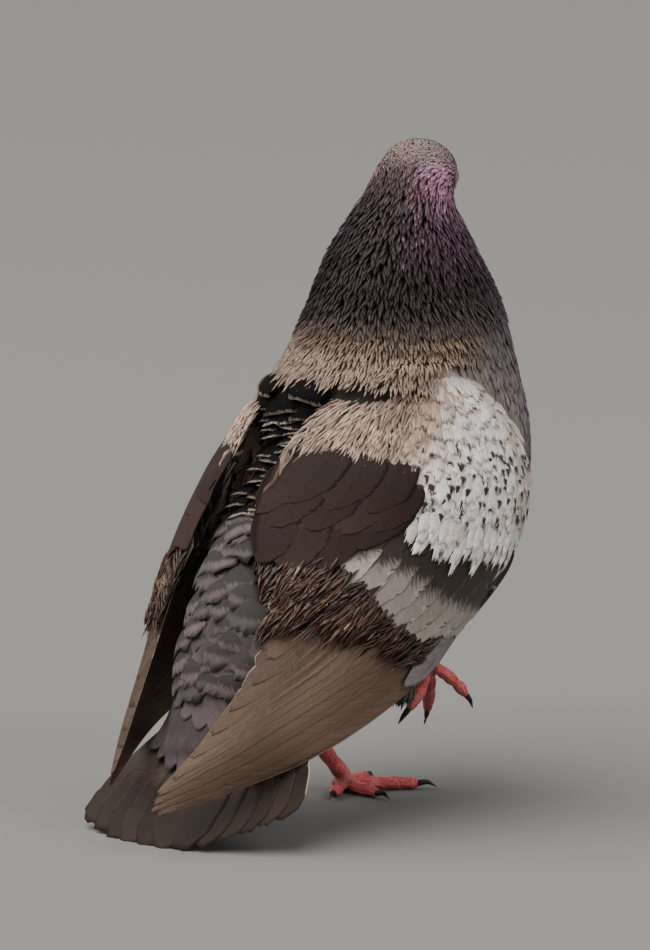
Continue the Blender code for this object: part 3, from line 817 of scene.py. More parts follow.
def draped(shape, place, normal, way, long, wide, tint, tip, spot, sink, proud, middle=None, **more):
    """A feather over the body's outline: its root below it, its middle and its tip so far above it."""
    middle = 0.6 * proud - 0.2 * sink if middle is None else middle
    p1, n1 = nearest(outline_tree, place + way * long / 2)
    p2, n2 = nearest(outline_tree, place + way * long)
    p0, p1, p2 = place - normal * sink, p1 + n1 * middle, p2 + n2 * proud
    return feather(shape, p0, p1, p2, n1, wide, tint, tip, spot, **more)


all_roots, all_tints = [], []


def note(feathers):
    """Keeps the roots and colours of planted feathers, for the skin to take its markings from."""
    all_roots.extend(f["root"] for f in feathers)
    all_tints.extend(f["tint"] for f in feathers)
    return feathers


def swing(way, normal, degrees):
    """A way turned about the way out of the body."""
    angle = math.radians(degrees)
    return way * math.cos(angle) + np.cross(normal, way) * math.sin(angle)


# the eyes' middles, the way each looks out, and how far feathers stay from an eye and the bill's root
EYE_BARE, BILL_BARE = 0.0042, 0.0042
eye_middles, eye_ways = {}, {}
for word in ("left", "right"):
    low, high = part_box(f"eye_{word}")
    eye_middles[word] = (np.array(low) + np.array(high)) / 2
    side = -1 if word == "right" else 1
    eye_ways[word] = np.array((head_turned @ Vector((side * 1.0, -0.42, 0.02))).normalized())


def on_face(place):
    """Whether a place lies on an eye's bare ring, or on the bill."""
    for word, middle in eye_middles.items():
        gap = place - middle
        deep = gap @ eye_ways[word]
        if deep > 0 and np.linalg.norm(gap - deep * eye_ways[word]) < EYE_BARE:
            return True
    return np.linalg.norm(place - bill_root) < BILL_BARE


# the tracts: from and to along the spine, feather shape, length, width and spacing in mm, lift of the tips
# in mm, unevenness of lie in degrees, and how much lighter the tips are
TRACTS = {
    "head_feathers": ((0.0, 1.9), "fine", 3.2, 1.35, 0.80, 0.03, 5, 1.08),
    "nape_feathers": ((1.9, 2.8), "hackle", 5.2, 1.3, 1.0, 0.2, 10, 1.2),
    "neck_hackles": ((2.8, 5.3), "hackle", 8.0, 1.6, 1.28, 0.9, 12, 1.4),
    "breast_and_sides": ((5.3, 8.0), "wispy", 12.0, 3.9, 2.2, 0.4, 6, 1.15),
    "belly_and_flanks": ((8.0, 12.6), "soft", 15.0, 6.6, 3.4, 0.5, 9, 1.12),
    "under_tail_coverts": ((12.6, 20.0), "soft", 26.0, 9.0, 5.0, 0.5, 5, 1.08),
}
SLOTS = {"head_feathers": "head_feathers", "nape_feathers": "neck_feathers", "neck_hackles": "neck_feathers",
         "under_tail_coverts": "rump_feathers"}  # fmt: skip
BACK_TURN = 0.85  # how far round from the middle the rump's own rows of feathers reach
HEAD_END, NECK_END, SHOULDER_END, BELLY_END = 2.5, 5.3, 7.0, 12.6  # places along the spine


def mantle_reach(s, turn):
    """How far round from the back the mantle reaches, which is less low down on the right."""
    return 1.0 if turn < 0 or s < 5.9 else 1.0 - 0.42 * min((s - 5.9) / 0.3, 1)


for tract, ((start, end), shape, long, wide, spacing, proud, stray, paler) in TRACTS.items():
    chosen = (outline_parts[4] >= start) & (outline_parts[4] < end)
    places, normals = spread(outline_parts, chosen, spacing / 1000)
    down, ways, turns = along_spine(places)
    spots = body_map(places)
    feathers = []
    for place, normal, s, way, turn, spot in zip(places, normals, down, ways, turns, spots):
        if s > NECK_END and abs(turn) < (mantle_reach(s, turn) if s < SHOULDER_END else BACK_TURN) - 0.08:
            continue
        if covered(place, normal) or (s < HEAD_END and on_face(place)) or (s > BELLY_END and abs(turn) < 1.3):
            continue
        way = swing(lie(place, normal, s, way), normal, stray * rng.normal())
        size = 1 + 0.12 * rng.normal()
        if s < 1.0:
            near = np.linalg.norm(place - bill_root)
            size *= min(max(near / 0.02, 0.55), 1)
            if on_face(place + way * long * size / 1000):
                size *= 0.5
        colour = body_colour(s + 0.12 * rng.normal(), turn + 0.1 * rng.normal())
        colour = jitter(colour, 0.06 if s < 1.9 else 0.16)
        # painted shade: the neck is darkened on its left side
        if turn < 0 and 2.7 < s < 5.2:
            colour = colour * (1 - 0.6 * ease(-turn, 0.1, 0.35))
        tip = colour * paler
        # painted sheen: pink tips on some hackles at the neck's sides stand for the glint of their
        # iridescence
        if shape == "hackle" and abs(turn) > 0.38 and rng.random() < 0.30 * min(4.9 - s, 1):
            tip = tip * 0.4 + srgb("b48aa6") * 0.5 * rng.random()
        feathers.append(
            draped(shape, place, normal, way, long * size / 1000, wide * size / 1000, colour,
                   np.clip(tip, 0, 1), spot, 0.0014 if long > 6 else 0.0006,
                   proud / 1000 * (0.4 + 1.2 * rng.random()), turn=0.7 if shape == "hackle" else 0.85)
        )  # fmt: skip
    material = dark_plumage if shape == "hackle" else plumage
    plant(tract, note(feathers), material, SLOTS.get(tract, "body_feathers"))

# ---------------------------------------------------------------- mantle, back and rump
# A tan mantle hangs over the wings' roots like a fringed cape. Below it the back feathers stand up in rows of
# thin plates with pale ends, painted near-black at the root as painted shade between the rows; then come soft
# grey scallops, whose dark roots are painted shade too, and the long smooth coverts over the tail.


FAR_OUT = 0.12  # metres from the spine, beyond all of the body


def ring_place(s, turn):
    """The place and way out on the body at s along the spine and a turn about it."""
    k = s / spine_at[-1] * (len(spine_at) - 1)
    i = min(int(k), len(spine_at) - 2)
    middle = spine_points[i] * (1 - (k - i)) + spine_points[i + 1] * (k - i)
    way = spine_ways[i]
    right = np.array((-1.0, 0.0, 0.0))
    back = np.cross(way, right)
    back *= -1 if back[1] < 0 else 1
    angle = turn * math.pi / 2
    out = back / np.linalg.norm(back) * math.cos(angle) + right * math.sin(angle)
    hit, normal, _, _ = outline_tree.ray_cast(Vector(middle + out * FAR_OUT), Vector(-out), FAR_OUT)
    if hit is None:
        return None, None, way
    return np.array(hit), np.array(normal), way


def cape_feather(shape, place, normal, way, long, wide, proud, tint, tip, spot, **more):
    """A feather on the back or rump whose end stands clear of the body."""
    return draped(shape, place, normal, way, long, wide, tint, tip, spot, 0.0012, proud, 0.5 * proud, **more)


skin_tree = tree_of(skin)


def over_skin(place, height):
    """The place a height in metres over the nearest skin, and the way out there."""
    hit, normal = nearest(skin_tree, place)
    return hit + normal * height, normal


mantle = []
MANTLE_FROM, MANTLE_TO, STRANDS_APART = 5.15, 6.8, 0.00112
_, _, _, _, down, turns = skin_parts
chosen = (down > MANTLE_FROM) & (down < MANTLE_TO) & (np.abs(turns) < 1.2)
places, normals = spread(skin_parts, chosen, STRANDS_APART)
down, ways, turns = along_spine(places)
for place, normal, s, way, turn, spot in zip(places, normals, down, ways, turns, body_map(places)):
    beyond = abs(turn) > mantle_reach(s, turn) + 0.04 * rng.normal()
    if beyond or way @ normal > 0.6 or turn < -0.70 - 0.6 * (MANTLE_TO - s):
        continue
    lift = 0.0004 + 0.0034 * ease(s, 6.45, 0.3) * ease(turn, -0.45, 0.2)
    lift += 0.0018 * (5.5 < s < 5.75) * (turn > -0.3)
    way = swing(flat(way, normal), normal, 7 * rng.normal() - 6 * turn)
    ripple = math.sin(2 * math.pi * s / 0.19 + 5 * noise.noise(Vector(place * 60)))
    tone = body_colour(s, turn * 0.3) * (1 + 0.25 * noise.noise(Vector(place * 90)) + 0.13 * ripple)
    colour = jitter(tone, 0.16)
    long = 0.0060 * (0.8 + 0.4 * rng.random())
    p1, n1 = over_skin(place + way * long / 2, COAT_DEPTH + 0.4 * lift)
    p2, _ = over_skin(place + way * long, COAT_DEPTH + lift)
    mantle.append(
        feather("wispy", place + normal * 0.0009, p1, p2, n1, 0.00105, colour, lit(colour, 1.2), spot)
    )  # fmt: skip
plant("mantle", note(mantle), plumage, "body_feathers")

back = []
BACK_ROWS, BACK_FROM, BACK_TO = 22, 6.75, 10.35
for row in range(BACK_ROWS):
    s = BACK_FROM + (BACK_TO - BACK_FROM) * row / (BACK_ROWS - 1)
    for k in range(-3, 4):
        turn = (k + 0.5 * (row % 2)) * 0.24 + 0.04 * rng.normal()
        place, normal, way = ring_place(s + 0.04 * rng.normal(), turn)
        beside = (row < 5 and abs(turn) > 0.38) or (row < 9 and turn > 0.06)
        if beside or place is None or covered(place, normal, 0.03):
            continue
        way = swing(flat(way, normal), normal, 5 * rng.normal())
        pale = srgb("a3958a") if rng.random() < 0.75 else srgb("c9bcb0")
        # painted shade: each plate is near-black at the root, standing for the shadow between the rows
        back.append(
            cape_feather("plate", place, normal, way, 0.0105, 0.0190, 0.0042 + 0.001 * rng.random(),
                         srgb("120e0f"), jitter(pale, 0.2), spot_at(place), turn=0.94, cup=0.0012)
        )  # fmt: skip
plant("back_plates", note(back), matt_plumage, "body_feathers")

rump = []
RUMP_ROWS, RUMP_FROM, RUMP_TO = 15, 10.1, 13.3
for row in range(RUMP_ROWS):
    s = RUMP_FROM + (RUMP_TO - RUMP_FROM) * row / (RUMP_ROWS - 1)
    for k in range(-5, 6):
        turn = (k + 0.5 * (row % 2)) * 0.20 + 0.04 * rng.normal()
        place, normal, way = ring_place(s + 0.05 * rng.normal(), turn)
        if place is None or covered(place, normal, 0.03) or abs(turn) > BACK_TURN + 0.1:
            continue
        way = swing(flat(way, normal), normal, 7 * rng.normal())
        # painted shade: the scallops are near-black at the root, where the rows overlap, and grey at the end
        colour = jitter(srgb("281c1a"), 0.2)
        size = 0.75 + 0.5 * rng.random()
        rump.append(
            cape_feather("fringed", place, normal, way, 0.0140 * size, 0.0210 * size,
                         0.0016 + 0.0018 * rng.random(), colour, jitter(srgb("594b4e"), 0.25), spot_at(place),
                         turn=0.72, bow=0.0014)
        )  # fmt: skip
plant("rump", note(rump), plumage, "rump_feathers")

# ---------------------------------------------------------------- flight feathers in general
# A flight or tail feather is one long stiff vane with a raised shaft, narrower on its leading side. They lie
# like roof tiles, each one's leading edge on top of the next, so each is tilted a little across.

QUILL_ROWS, QUILL_COLUMNS = 34, 13


def quill(surface, root, tip, long, wide, tint, tip_tint, lead=0.35, low=0.2, high=1.4, sink=1.5, bow=0.0,
          blunt=0.10, frayed=0.3, curl=0.0, rim=0.5, turn=1.3, widths=(0.35, 0.85, 1.0, 1.0, 0.92, 0.6)):
    """A flight feather on a surface, which gives a place and a way out for (down, over, off) where off is a
    distance across in metres. Lengths are in metres, and low, high, sink and curl in mm."""  # fmt: skip
    down0, over0 = root
    down1, over1 = tip
    notches = np.zeros((QUILL_ROWS, 2))
    for side in (0, 1):
        for _ in range(int(1 + 5 * frayed)):
            deep = frayed * (0.10 + 0.25 * rng.random())
            notches[int(rng.integers(QUILL_ROWS // 2, QUILL_ROWS)), side] = deep
    ends = frayed * (rng.random(QUILL_COLUMNS) - 0.5) * 0.10
    top, out = [], []
    for i in range(QUILL_ROWS):
        s = i / (QUILL_ROWS - 1)
        breadth = wide * along_row(widths, s)
        for j in range(QUILL_COLUMNS):
            c = 2 * j / (QUILL_COLUMNS - 1) - 1
            x = s * (1 - blunt * s**3 * abs(c) ** 2.2) + ends[j] * s**8
            side = breadth * (lead if c > 0 else 1 - lead) * c
            side *= 1 - (notches[i, int(c > 0)] if abs(c) > 0.8 else 0.0)
            over = over0 + (over1 - over0) * x + bow * 4 * x * (1 - x)
            place, way_out = surface(down0 + (down1 - down0) * x, over, side)
            height = low + (high - low) * (c + 1) / 2 - sink * (1 - s) ** 3 + curl * s * s * abs(c) ** 2
            height += 0.35 * (1 - abs(c)) ** 4 * (1 - 0.6 * s)
            top.append(place + way_out * height / 1000)
            out.append(way_out)
    return {
        "top": np.array(top), "out": np.array(out), "long": long, "wide": wide, "tint": tint, "tip": tip_tint,
        "rim": rim, "turn": turn, "chance": rng.random(), "speck": 0.0,
    }  # fmt: skip


def sew(name, quills, material, slot, replaced=(), thick=0.00013, lowest=None):
    """Joins flight feathers into one piece, each a closed vane with its own strip of the bake map."""
    rows, columns = QUILL_ROWS, QUILL_COLUMNS
    size = rows * columns
    faces = []
    for face in grid_faces(rows, columns):
        faces += [face, tuple(n + size for n in face[:1] + face[:0:-1])]
    rim = rim_of(rows, columns)
    faces += [(b, a, a + size, b + size) for a, b in zip(rim, rim[1:] + rim[:1])]
    points, all_faces = [], []
    for k, q in enumerate(quills):
        both = np.concatenate([q["top"], q["top"] - q["out"] * thick])
        if lowest is not None:
            both[:, 2] = np.maximum(both[:, 2], np.repeat((lowest + thick, lowest), size))
        points.append(both)
        all_faces += [tuple(n + 2 * size * k for n in face) for face in faces]
    obj = new_mesh_object(name, np.concatenate(points), all_faces)
    mesh = obj.data
    face_outward(mesh)
    along = np.tile(np.repeat(np.linspace(0, 1, rows), columns), 2 * len(quills))
    across = np.tile(np.linspace(-1, 1, columns), 2 * rows * len(quills))
    give(mesh, "along", along)
    give(mesh, "across", across)
    for key in ("long", "wide", "chance", "turn", "rim", "speck"):
        give(mesh, key, np.repeat([q[key] for q in quills], 2 * size))
    for key in ("tint", "tip"):
        give(mesh, key, np.repeat([q[key] for q in quills], 2 * size, axis=0), "FLOAT_VECTOR")
    number = np.repeat(np.arange(len(quills)), 2 * size)
    bake_map(mesh, np.stack([(number + 0.5 + 0.45 * across) / len(quills), 0.01 + 0.98 * along], 1))
    dress(obj, material, slot, *replaced)


quill_finish = plume_finish("flight feather", roughness=0.6, barbs=0.7, sheen=0.0, bump=0.7, glint=0.16,
                            rim="c2ae9b", shaft="8f7d70")  # fmt: skip
smooth_quill = plume_finish("smooth quill", roughness=0.62, barbs=0.35, sheen=0.0, bump=0.3, glint=0.12,
                            rim="c2ae9b", shaft="4c3f38")  # fmt: skip
pale_quill = plume_finish("pale covert", roughness=0.66, barbs=0.3, sheen=0.1, rim="dcd4cd", shaft="382d27")

# ---------------------------------------------------------------- wing coverts and flight feathers
# On each wing: hair-like beige scapulars by the back, cream lesser coverts with dark specks, one row of
# greater coverts whose dark halves make a bar, a ruffled dark bar under them, and the long flight feathers.


def wing_surface(word):
    """Places on one wing for its flight feathers."""

    def surface(t, q, off):
        width = max(wing_width(word, min(t, 6.6)), 0.012)
        q = q + off / width
        inside = min(max(q, -0.02), 1.02)
        place, out = on_wing(word, t, inside)
        edge_a, _ = on_wing(word, t, 0.04)
        edge_b, _ = on_wing(word, t, 0.96)
        over = edge_b - edge_a
        over /= np.linalg.norm(over) + 1e-9
        place = place + over * (q - inside) * width * 0.35
        if t > WING_ROWS:
            before, _ = on_wing(word, WING_ROWS - 0.3, 0.5)
            end, _ = on_wing(word, WING_ROWS, 0.5)
            place = place + (end - before) / 0.3 * (t - WING_ROWS)
        return place, out

    return surface


def curve_at(rows, q):
    """How far down the wing a band's edge lies, in rows, at q across."""
    return float(np.interp(q, *zip(*rows)))


# the dark band's upper edge, its lower edge, and the ends of the pale covert tips under it, each as places
# (q across, rows down)
DARK_FROM = ((0, 1.95), (0.2, 2.05), (0.3, 2.35), (0.36, 2.7), (0.41, 2.93), (0.53, 3.28), (0.72, 3.48),
             (0.86, 3.48), (1, 3.42))  # fmt: skip
DARK_TO = ((0.2, 3.42), (0.36, 3.58), (0.51, 3.74), (0.65, 3.92), (0.8, 3.95), (0.93, 3.88), (1, 3.76))
TIPS_TO = ((0.2, 3.6), (0.28, 3.72), (0.4, 4.0), (0.52, 4.3), (0.72, 4.47), (0.86, 4.47), (1, 4.24))
# the border between beige scapulars and cream coverts: rows down, q across
CREAM_FROM = ((0, 0.56), (1.0, 0.50), (1.5, 0.42), (1.9, 0.29), (3.2, 0.29))


def patchy(t, q, size=1.0):
    """Soft patches from -1 to 1 over a wing."""
    return noise.noise(Vector((t * 2.3 / size, q * 5.0 / size, 3.7)))


def staggered(word, start, end, spacing, loose=0.35):
    """Places (t, q) in staggered rows down a wing, spaced in metres."""
    t, odd = start, 0
    while t < end:
        width = wing_width(word, t)
        here, _ = on_wing(word, t, 0.5)
        ahead, _ = on_wing(word, t + 0.1, 0.5)
        step, pace = spacing / width, np.linalg.norm(ahead - here)
        q = (0.5 * odd + 0.2 * rng.random()) * step
        while q < 1.0:
            down = t + loose * (rng.random() - 0.5) * spacing * 0.1 / pace
            yield down, min(max(q + loose * (rng.random() - 0.5) * step, 0.0), 1.0)
            q += step
        t += spacing * 0.87 * 0.1 / pace
        odd = 1 - odd


CREAM, BEIGE = srgb("fdf5ef"), srgb("b39a88")
SLATE, BAR, PRIMARY = srgb("382a25"), srgb("3a2b23"), srgb("7d6655")
# the smooth slate feathers, lowest first, and the loose ones: rows down and q across of the root and the end,
# then the curl in mm and the colour of a loose one
SLATE_ROWS = ((2.55, 0.42, 3.45, 0.33), (2.5, 0.28, 3.75, 0.22), (2.45, 0.14, 3.7, 0.11),
              (2.4, 0.03, 3.5, 0.03), (2.1, 0.42, 3.15, 0.37), (2.05, 0.33, 3.2, 0.27),
              (2.0, 0.22, 3.1, 0.17), (1.95, 0.11, 3.0, 0.06), (1.9, 0.02, 2.75, 0.0),
              (1.75, 0.38, 2.75, 0.33), (1.7, 0.27, 2.7, 0.2), (1.65, 0.14, 2.6, 0.08))  # fmt: skip
LOOSE_ONES = ((3.35, 0.22, 4.35, 0.06, 1.5, "6d584b"), (3.4, 0.34, 4.5, 0.15, 1.8, "453831"),
              (3.4, 0.12, 4.15, 0.03, 1.2, "7f6a5e"), (3.6, 0.45, 4.6, 0.27, 1.32, "362b28"),
              (3.95, 0.99, 4.95, 0.93, 0.18, "8c8182"), (4.1, 0.97, 4.9, 0.97, 0.12, "6b6264"))  # fmt: skip
for word in WINGS:
    surface = wing_surface(word)
    small = []
    for t, q in staggered(word, 0.0, 3.2, 0.0015):
        border = (0.66 if t < 0.6 else curve_at(CREAM_FROM, t)) + 0.10 * patchy(t, q, 0.5)
        if q > border + 0.04 or t > curve_at(DARK_FROM, q - 0.06) - 0.46:
            continue
        # painted light: the left wing's scapulars are made lighter than the right's, to make up for the shade
        # they lie in
        tone = BEIGE * (1.0 if word == "right" else 1.2) * (1 + 0.55 * patchy(t, q, 0.45))
        colour = jitter(tone * (1 + 0.30 * patchy(t, q, 0.15)), 0.14)
        # painted shadow: under the mantle's fringe the scapulars are short and near-black, standing for its
        # shadow
        shade = t < 0.58 and q < 0.5
        long, wide = 0.0105 * (0.8 + 0.4 * rng.random()), 0.0013 * (0.8 + 0.4 * rng.random())
        small.append(
            wing_feather("wispy", word, t, q, 0.004 if shade else long, wide, colour * (0.04 if shade else 1),
                         lit(colour, 0.04 if shade else 1.2), drift=11 * rng.normal() - 4, sink=0.0008,
                         proud=0.0005 + 0.0008 * rng.random())
        )  # fmt: skip
    for t, q in staggered(word, 0.1, 3.2, 0.0033, loose=0.5):
        border = curve_at(CREAM_FROM, t) + 0.10 * patchy(t, q, 0.5)
        if q < border - 0.02 or t > curve_at(DARK_FROM, q - 0.04) - 0.50:
            continue
        soft = ease(q, border, 0.22)
        rim = ease(q, 0.86, 0.10) * (0.85 if t < 2.6 else 0.3) * (0.6 + 0.8 * patchy(t, q, 0.2))
        cream = CREAM * (1 + 0.10 * patchy(t, q, 0.2))
        soft *= 1 - 0.25 * ease(1.0 - t, 0.0, 0.6)
        colour = BEIGE * 1.1 * (1 - soft) + cream * soft
        colour = jitter(colour * (1 - rim) + srgb("a0836d") * rim, 0.10)
        zone = ease(t, 0.6, 0.7) * ease(q, border, 0.08)
        often = 0.56 + 0.8 * patchy(t, q, 0.35)
        speck = zone * (0.6 + 0.7 * rng.random()) if rng.random() < often else 0.0
        small.append(
            wing_feather("fringed", word, t, q, 0.0115 * (0.9 + 0.25 * rng.random()),
                         0.0062 * (0.85 + 0.3 * rng.random()), colour, lit(colour, 1.1),
                         drift=rng.normal() * 7 - 4, sink=0.0008, proud=0.0006 + 0.0006 * rng.random(),
                         speck=speck)
        )  # fmt: skip
    for t, q in staggered(word, 1.9, 3.4, 0.0042, loose=0.25):
        if not curve_at(DARK_FROM, q) - 0.98 < t < curve_at(DARK_FROM, q) - 0.60 or q < 0.50:
            continue
        colour = jitter(CREAM * (1 - 0.12 * rng.random()), 0.08)
        small.append(
            wing_feather("fringed", word, t, q, 0.0160, 0.0064, colour, lit(colour, 1.06),
                         drift=rng.normal() * 4 - 3, proud=0.0020 + 0.0005 * rng.random(), bow=0.0006,
                         speck=0.6 * (rng.random() < 0.16))
        )  # fmt: skip
    plant(f"coverts_{word}", note(small), plumage, "wing_shield")

    # greater coverts: dark at the root, pale and frayed at the end
    greater = []
    for q in np.linspace(0.975, 0.27, 10):
        start, end = curve_at(DARK_FROM, q) - 0.45, curve_at(TIPS_TO, q) + 0.04 * rng.normal()
        dark, pale = jitter(BAR, 0.08), jitter(srgb("a3968c"), 0.12)
        greater.append(
            quill(surface, (start, q + 0.05), (end, q - 0.04), 0.035, 0.0155, dark, pale, lead=0.5, low=0.9,
                  high=1.5, blunt=0.16, frayed=0.8, rim=0.0, widths=(0.5, 0.9, 1.0, 1.0, 1.0, 0.9),
                  turn=(curve_at(DARK_TO, q) - start) / (end - start))
        )  # fmt: skip
    sew(f"greater_coverts_{word}", greater, pale_quill, "wing_shield")

    # smooth slate feathers between the scapulars and the bar
    slate = []
    for start, q0, end, q1 in SLATE_ROWS:
        colour = jitter(SLATE, 0.10)
        slate.append(
            quill(surface, (start, q0), (end, q1), 0.032, 0.020, colour, lit(colour, 1.1), lead=0.5,
                  low=1.8, high=2.05, blunt=0.22, frayed=0.4, curl=-0.15, rim=0.0,
                  widths=(0.5, 0.9, 1.0, 1.0, 0.95, 0.75))
        )  # fmt: skip
    sew(f"slate_scapulars_{word}", slate, smooth_quill, "wing_shield")

    # the ruffled dark bar: narrow curled strands over the roots of the flight feathers
    ruffled = []
    for t, q in staggered(word, 3.3, 4.75, STRANDS_APART, loose=0.9):
        if t < (curve_at(TIPS_TO, q) - 0.10 if q > 0.26 else 3.42) or q > 0.93 or t > 4.30 + 0.35 * q:
            continue
        clump = noise.noise(Vector((t * 4.2, q * 11.0, 1.3)))
        # painted shade and light: the strands are lighter where they clump and stand higher, darker in the
        # gaps
        dark = jitter(srgb("442e20") * (1 + 0.8 * clump), 0.25)
        tip = jitter(srgb("9a8468"), 0.4) if rng.random() < 0.035 else dark * (0.8 + 0.9 * rng.random())
        ruffled.append(
            wing_feather("strand", word, t, q, 0.007 + 0.009 * rng.random(), 0.0009 + 0.0007 * rng.random(),
                         dark, np.clip(tip, 0, 1), drift=-36 + 34 * clump + 10 * rng.normal(), sink=-0.0008,
                         proud=0.0012 + 0.0016 * rng.random() + 0.0014 * max(clump, 0),
                         bow=0.0008 * rng.normal(), turn=0.4)
        )  # fmt: skip
    plant(f"ruffled_bar_{word}", note(ruffled), wet_plumage, "wing_secondaries")

    # flight feathers, outermost first: where each is rooted and ends, length and width in mm
    flight = []
    ends = (7.05, 7.08, 7.0, 6.84, 6.58, 6.28, 5.97, 5.65, 5.3, 4.95, 4.65, 4.35)
    inward = (0.93, 0.62, 0.38, 0.18, 0.10, 0.07, 0.06, 0.06, 0.07, 0.08, 0.09, 0.10)
    for n, (end, q1) in enumerate(zip(ends, inward)):
        tone = PRIMARY * (1.08 - 0.03 * n) * (0.94 if n % 2 else 1.03)
        # painted shade: the left wing's flight feathers are a darker copy of the right's
        colour = jitter(tone * (1.0 if word == "right" else 0.75), 0.07)
        flight.append(
            quill(surface, (3.75 - 0.07 * n, 1.0 - 0.078 * n), (end, q1), 0.1 if n < 9 else 0.06,
                  0.0155 + 0.0006 * min(n, 8), colour, colour * 0.58, lead=0.16 + 0.03 * min(n, 7), low=0.1,
                  high=0.5, sink=1.0, bow=0.06 if n < 9 else 0.02, blunt=0.03 if n < 4 else 0.06, frayed=0.2,
                  rim=0.6, turn=0.66,
                  widths=(0.5, 0.9, 1.0, 1.0, 0.85, 0.30) if n < 4 else (0.5, 0.9, 1.0, 1.05, 0.95, 0.30))
        )  # fmt: skip
    replaced = (f"wing_{word}_secondaries", f"wing_{word}_primaries")
    sew(f"flight_feathers_{word}", flight, quill_finish, "wing_primaries", replaced)

    # three curled inner feathers with pale rims, and a smooth grey one at the wing's front edge
    loose_ones = []
    for start, q0, end, q1, curl, code in LOOSE_ONES:
        colour = srgb(code)
        loose_ones.append(
            quill(surface, (start, q0), (end, q1), 0.028, 0.012, colour, lit(colour, 1.1), lead=0.45,
                  low=1.2, high=1.9, sink=2.0, curl=curl, blunt=0.16, frayed=0.4, rim=1.0,
                  widths=(0.5, 0.9, 1.0, 1.0, 0.9, 0.6))
        )  # fmt: skip
    sew(f"loose_wing_feathers_{word}", loose_ones, quill_finish, "wing_secondaries")

# ---------------------------------------------------------------- tail
# Twelve broad tail feathers fan out a little and lie on the ground, the middle pair on top. They are grey
# brown, darker and frayed at the end, and the outermost has a white outer edge.

TAIL_ROOT, TAIL_PITCH, TAIL_SPREAD, TAIL_ARCH = (0.0, -6.3, 8.35), 47, 27, 0.3
TAIL_REACH = (11.9, 11.6, 10.1)  # cm from the root to the ends, leftmost, middle and rightmost
TAIL_FEATHERS = 12


def tail_surface(reach, turn, off):
    """A place on the tail fan at a reach in cm and a turn in degrees, and the way out of it."""
    lean = math.radians(TAIL_PITCH)
    side = (turn + math.degrees(off / CM / max(reach, 1.0))) / TAIL_SPREAD
    angle = math.radians(side * TAIL_SPREAD)
    down = TAIL_ARCH * side * side * min(reach / TAIL_REACH[1], 1)
    axial, wide = reach * math.cos(angle), reach * math.sin(angle)
    forward = TAIL_ROOT[1] - axial * math.cos(lean) + down * math.sin(lean)
    up = TAIL_ROOT[2] - axial * math.sin(lean) - down * math.cos(lean)
    out = np.array((0.0, math.sin(lean), math.cos(lean)))
    return np.array(at(TAIL_ROOT[0] + wide, forward, up)), out


fan = []
for k in range(TAIL_FEATHERS):
    share = (k + 0.5) / TAIL_FEATHERS
    turn = TAIL_SPREAD * (2 * share - 1)
    reach = along_row(TAIL_REACH, share)
    middle = 1 - abs(2 * share - 1)
    left = share < 0.5
    colour = jitter(srgb("5d5047"), 0.08)
    fan.append(
        quill(tail_surface, (1.8, turn * 0.8), (reach - 0.15, turn), 0.1, 0.023, colour, srgb("352a24"),
              lead=0.5, low=-1.5 + 1.2 * middle + (0.3 if left else 0.0),
              high=-1.5 + 1.2 * middle + (0.0 if left else 0.3), sink=0.0, blunt=0.11, frayed=0.2,
              rim=2.0 if k == TAIL_FEATHERS - 1 else 0.08, turn=0.72,
              widths=(0.25, 0.55, 0.8, 0.95, 1.0, 0.85))
    )  # fmt: skip
sew("tail_feathers", fan, smooth_quill, "tail_feathers", ("tail",), lowest=0.0)


def rump_rise(reach, turn):
    """How high the rump stands over the tail's plane there, in metres."""
    base, out = tail_surface(reach, turn, 0.0)
    hit, _, _, _ = outline_tree.ray_cast(Vector(base + out * 0.07), Vector(-out), 0.07)
    return 0.0 if hit is None else float((np.array(hit) - base) @ out)


def covert_surface(reach, turn, off):
    """The surface from the rump's back down onto the tail, smoothed where the body ends."""
    turned = turn + math.degrees(off / CM / max(reach, 1.0))
    rises = [rump_rise(reach + step, turned) for step in (-0.8, -0.4, 0.0, 0.4, 0.8)]
    rise = max(np.mean(rises), rises[2] + 0.0004)
    base, out = tail_surface(reach, turned, 0.0)
    return base + out * rise, out


coverts = []
for row, (start, end, wide, turns) in enumerate(((3.4, 8.7, 0.019, (-25, 22, -19, 15, -13, 8, -7, 0)),
                                                 (2.6, 6.9, 0.020, (-20, 17, -12, 10, -4, 3)),
                                                 (2.0, 5.4, 0.019, (-15, 12, -8, 6, 0)))):  # fmt: skip
    for n, turn in enumerate(turns):
        colour = jitter(srgb("544a4c"), 0.10)
        lift = 0.7 + 0.9 * row + 0.12 * n
        coverts.append(
            quill(covert_surface, (start, turn * 0.95), (end - 0.03 * abs(turn), turn), 0.045, wide, colour,
                  lit(colour, 1.3), lead=0.5, low=lift, high=lift + 0.2, sink=1.5, curl=-0.6, blunt=0.25,
                  frayed=0.2, rim=0.12, turn=0.8, widths=(0.5, 0.9, 1.0, 1.0, 0.95, 0.7))
        )  # fmt: skip
sew("upper_tail_coverts", coverts, smooth_quill, "rump_feathers")

# ---------------------------------------------------------------- tufts on the legs
# Short downy feathers hang from the end of each thigh over the top of the shank.

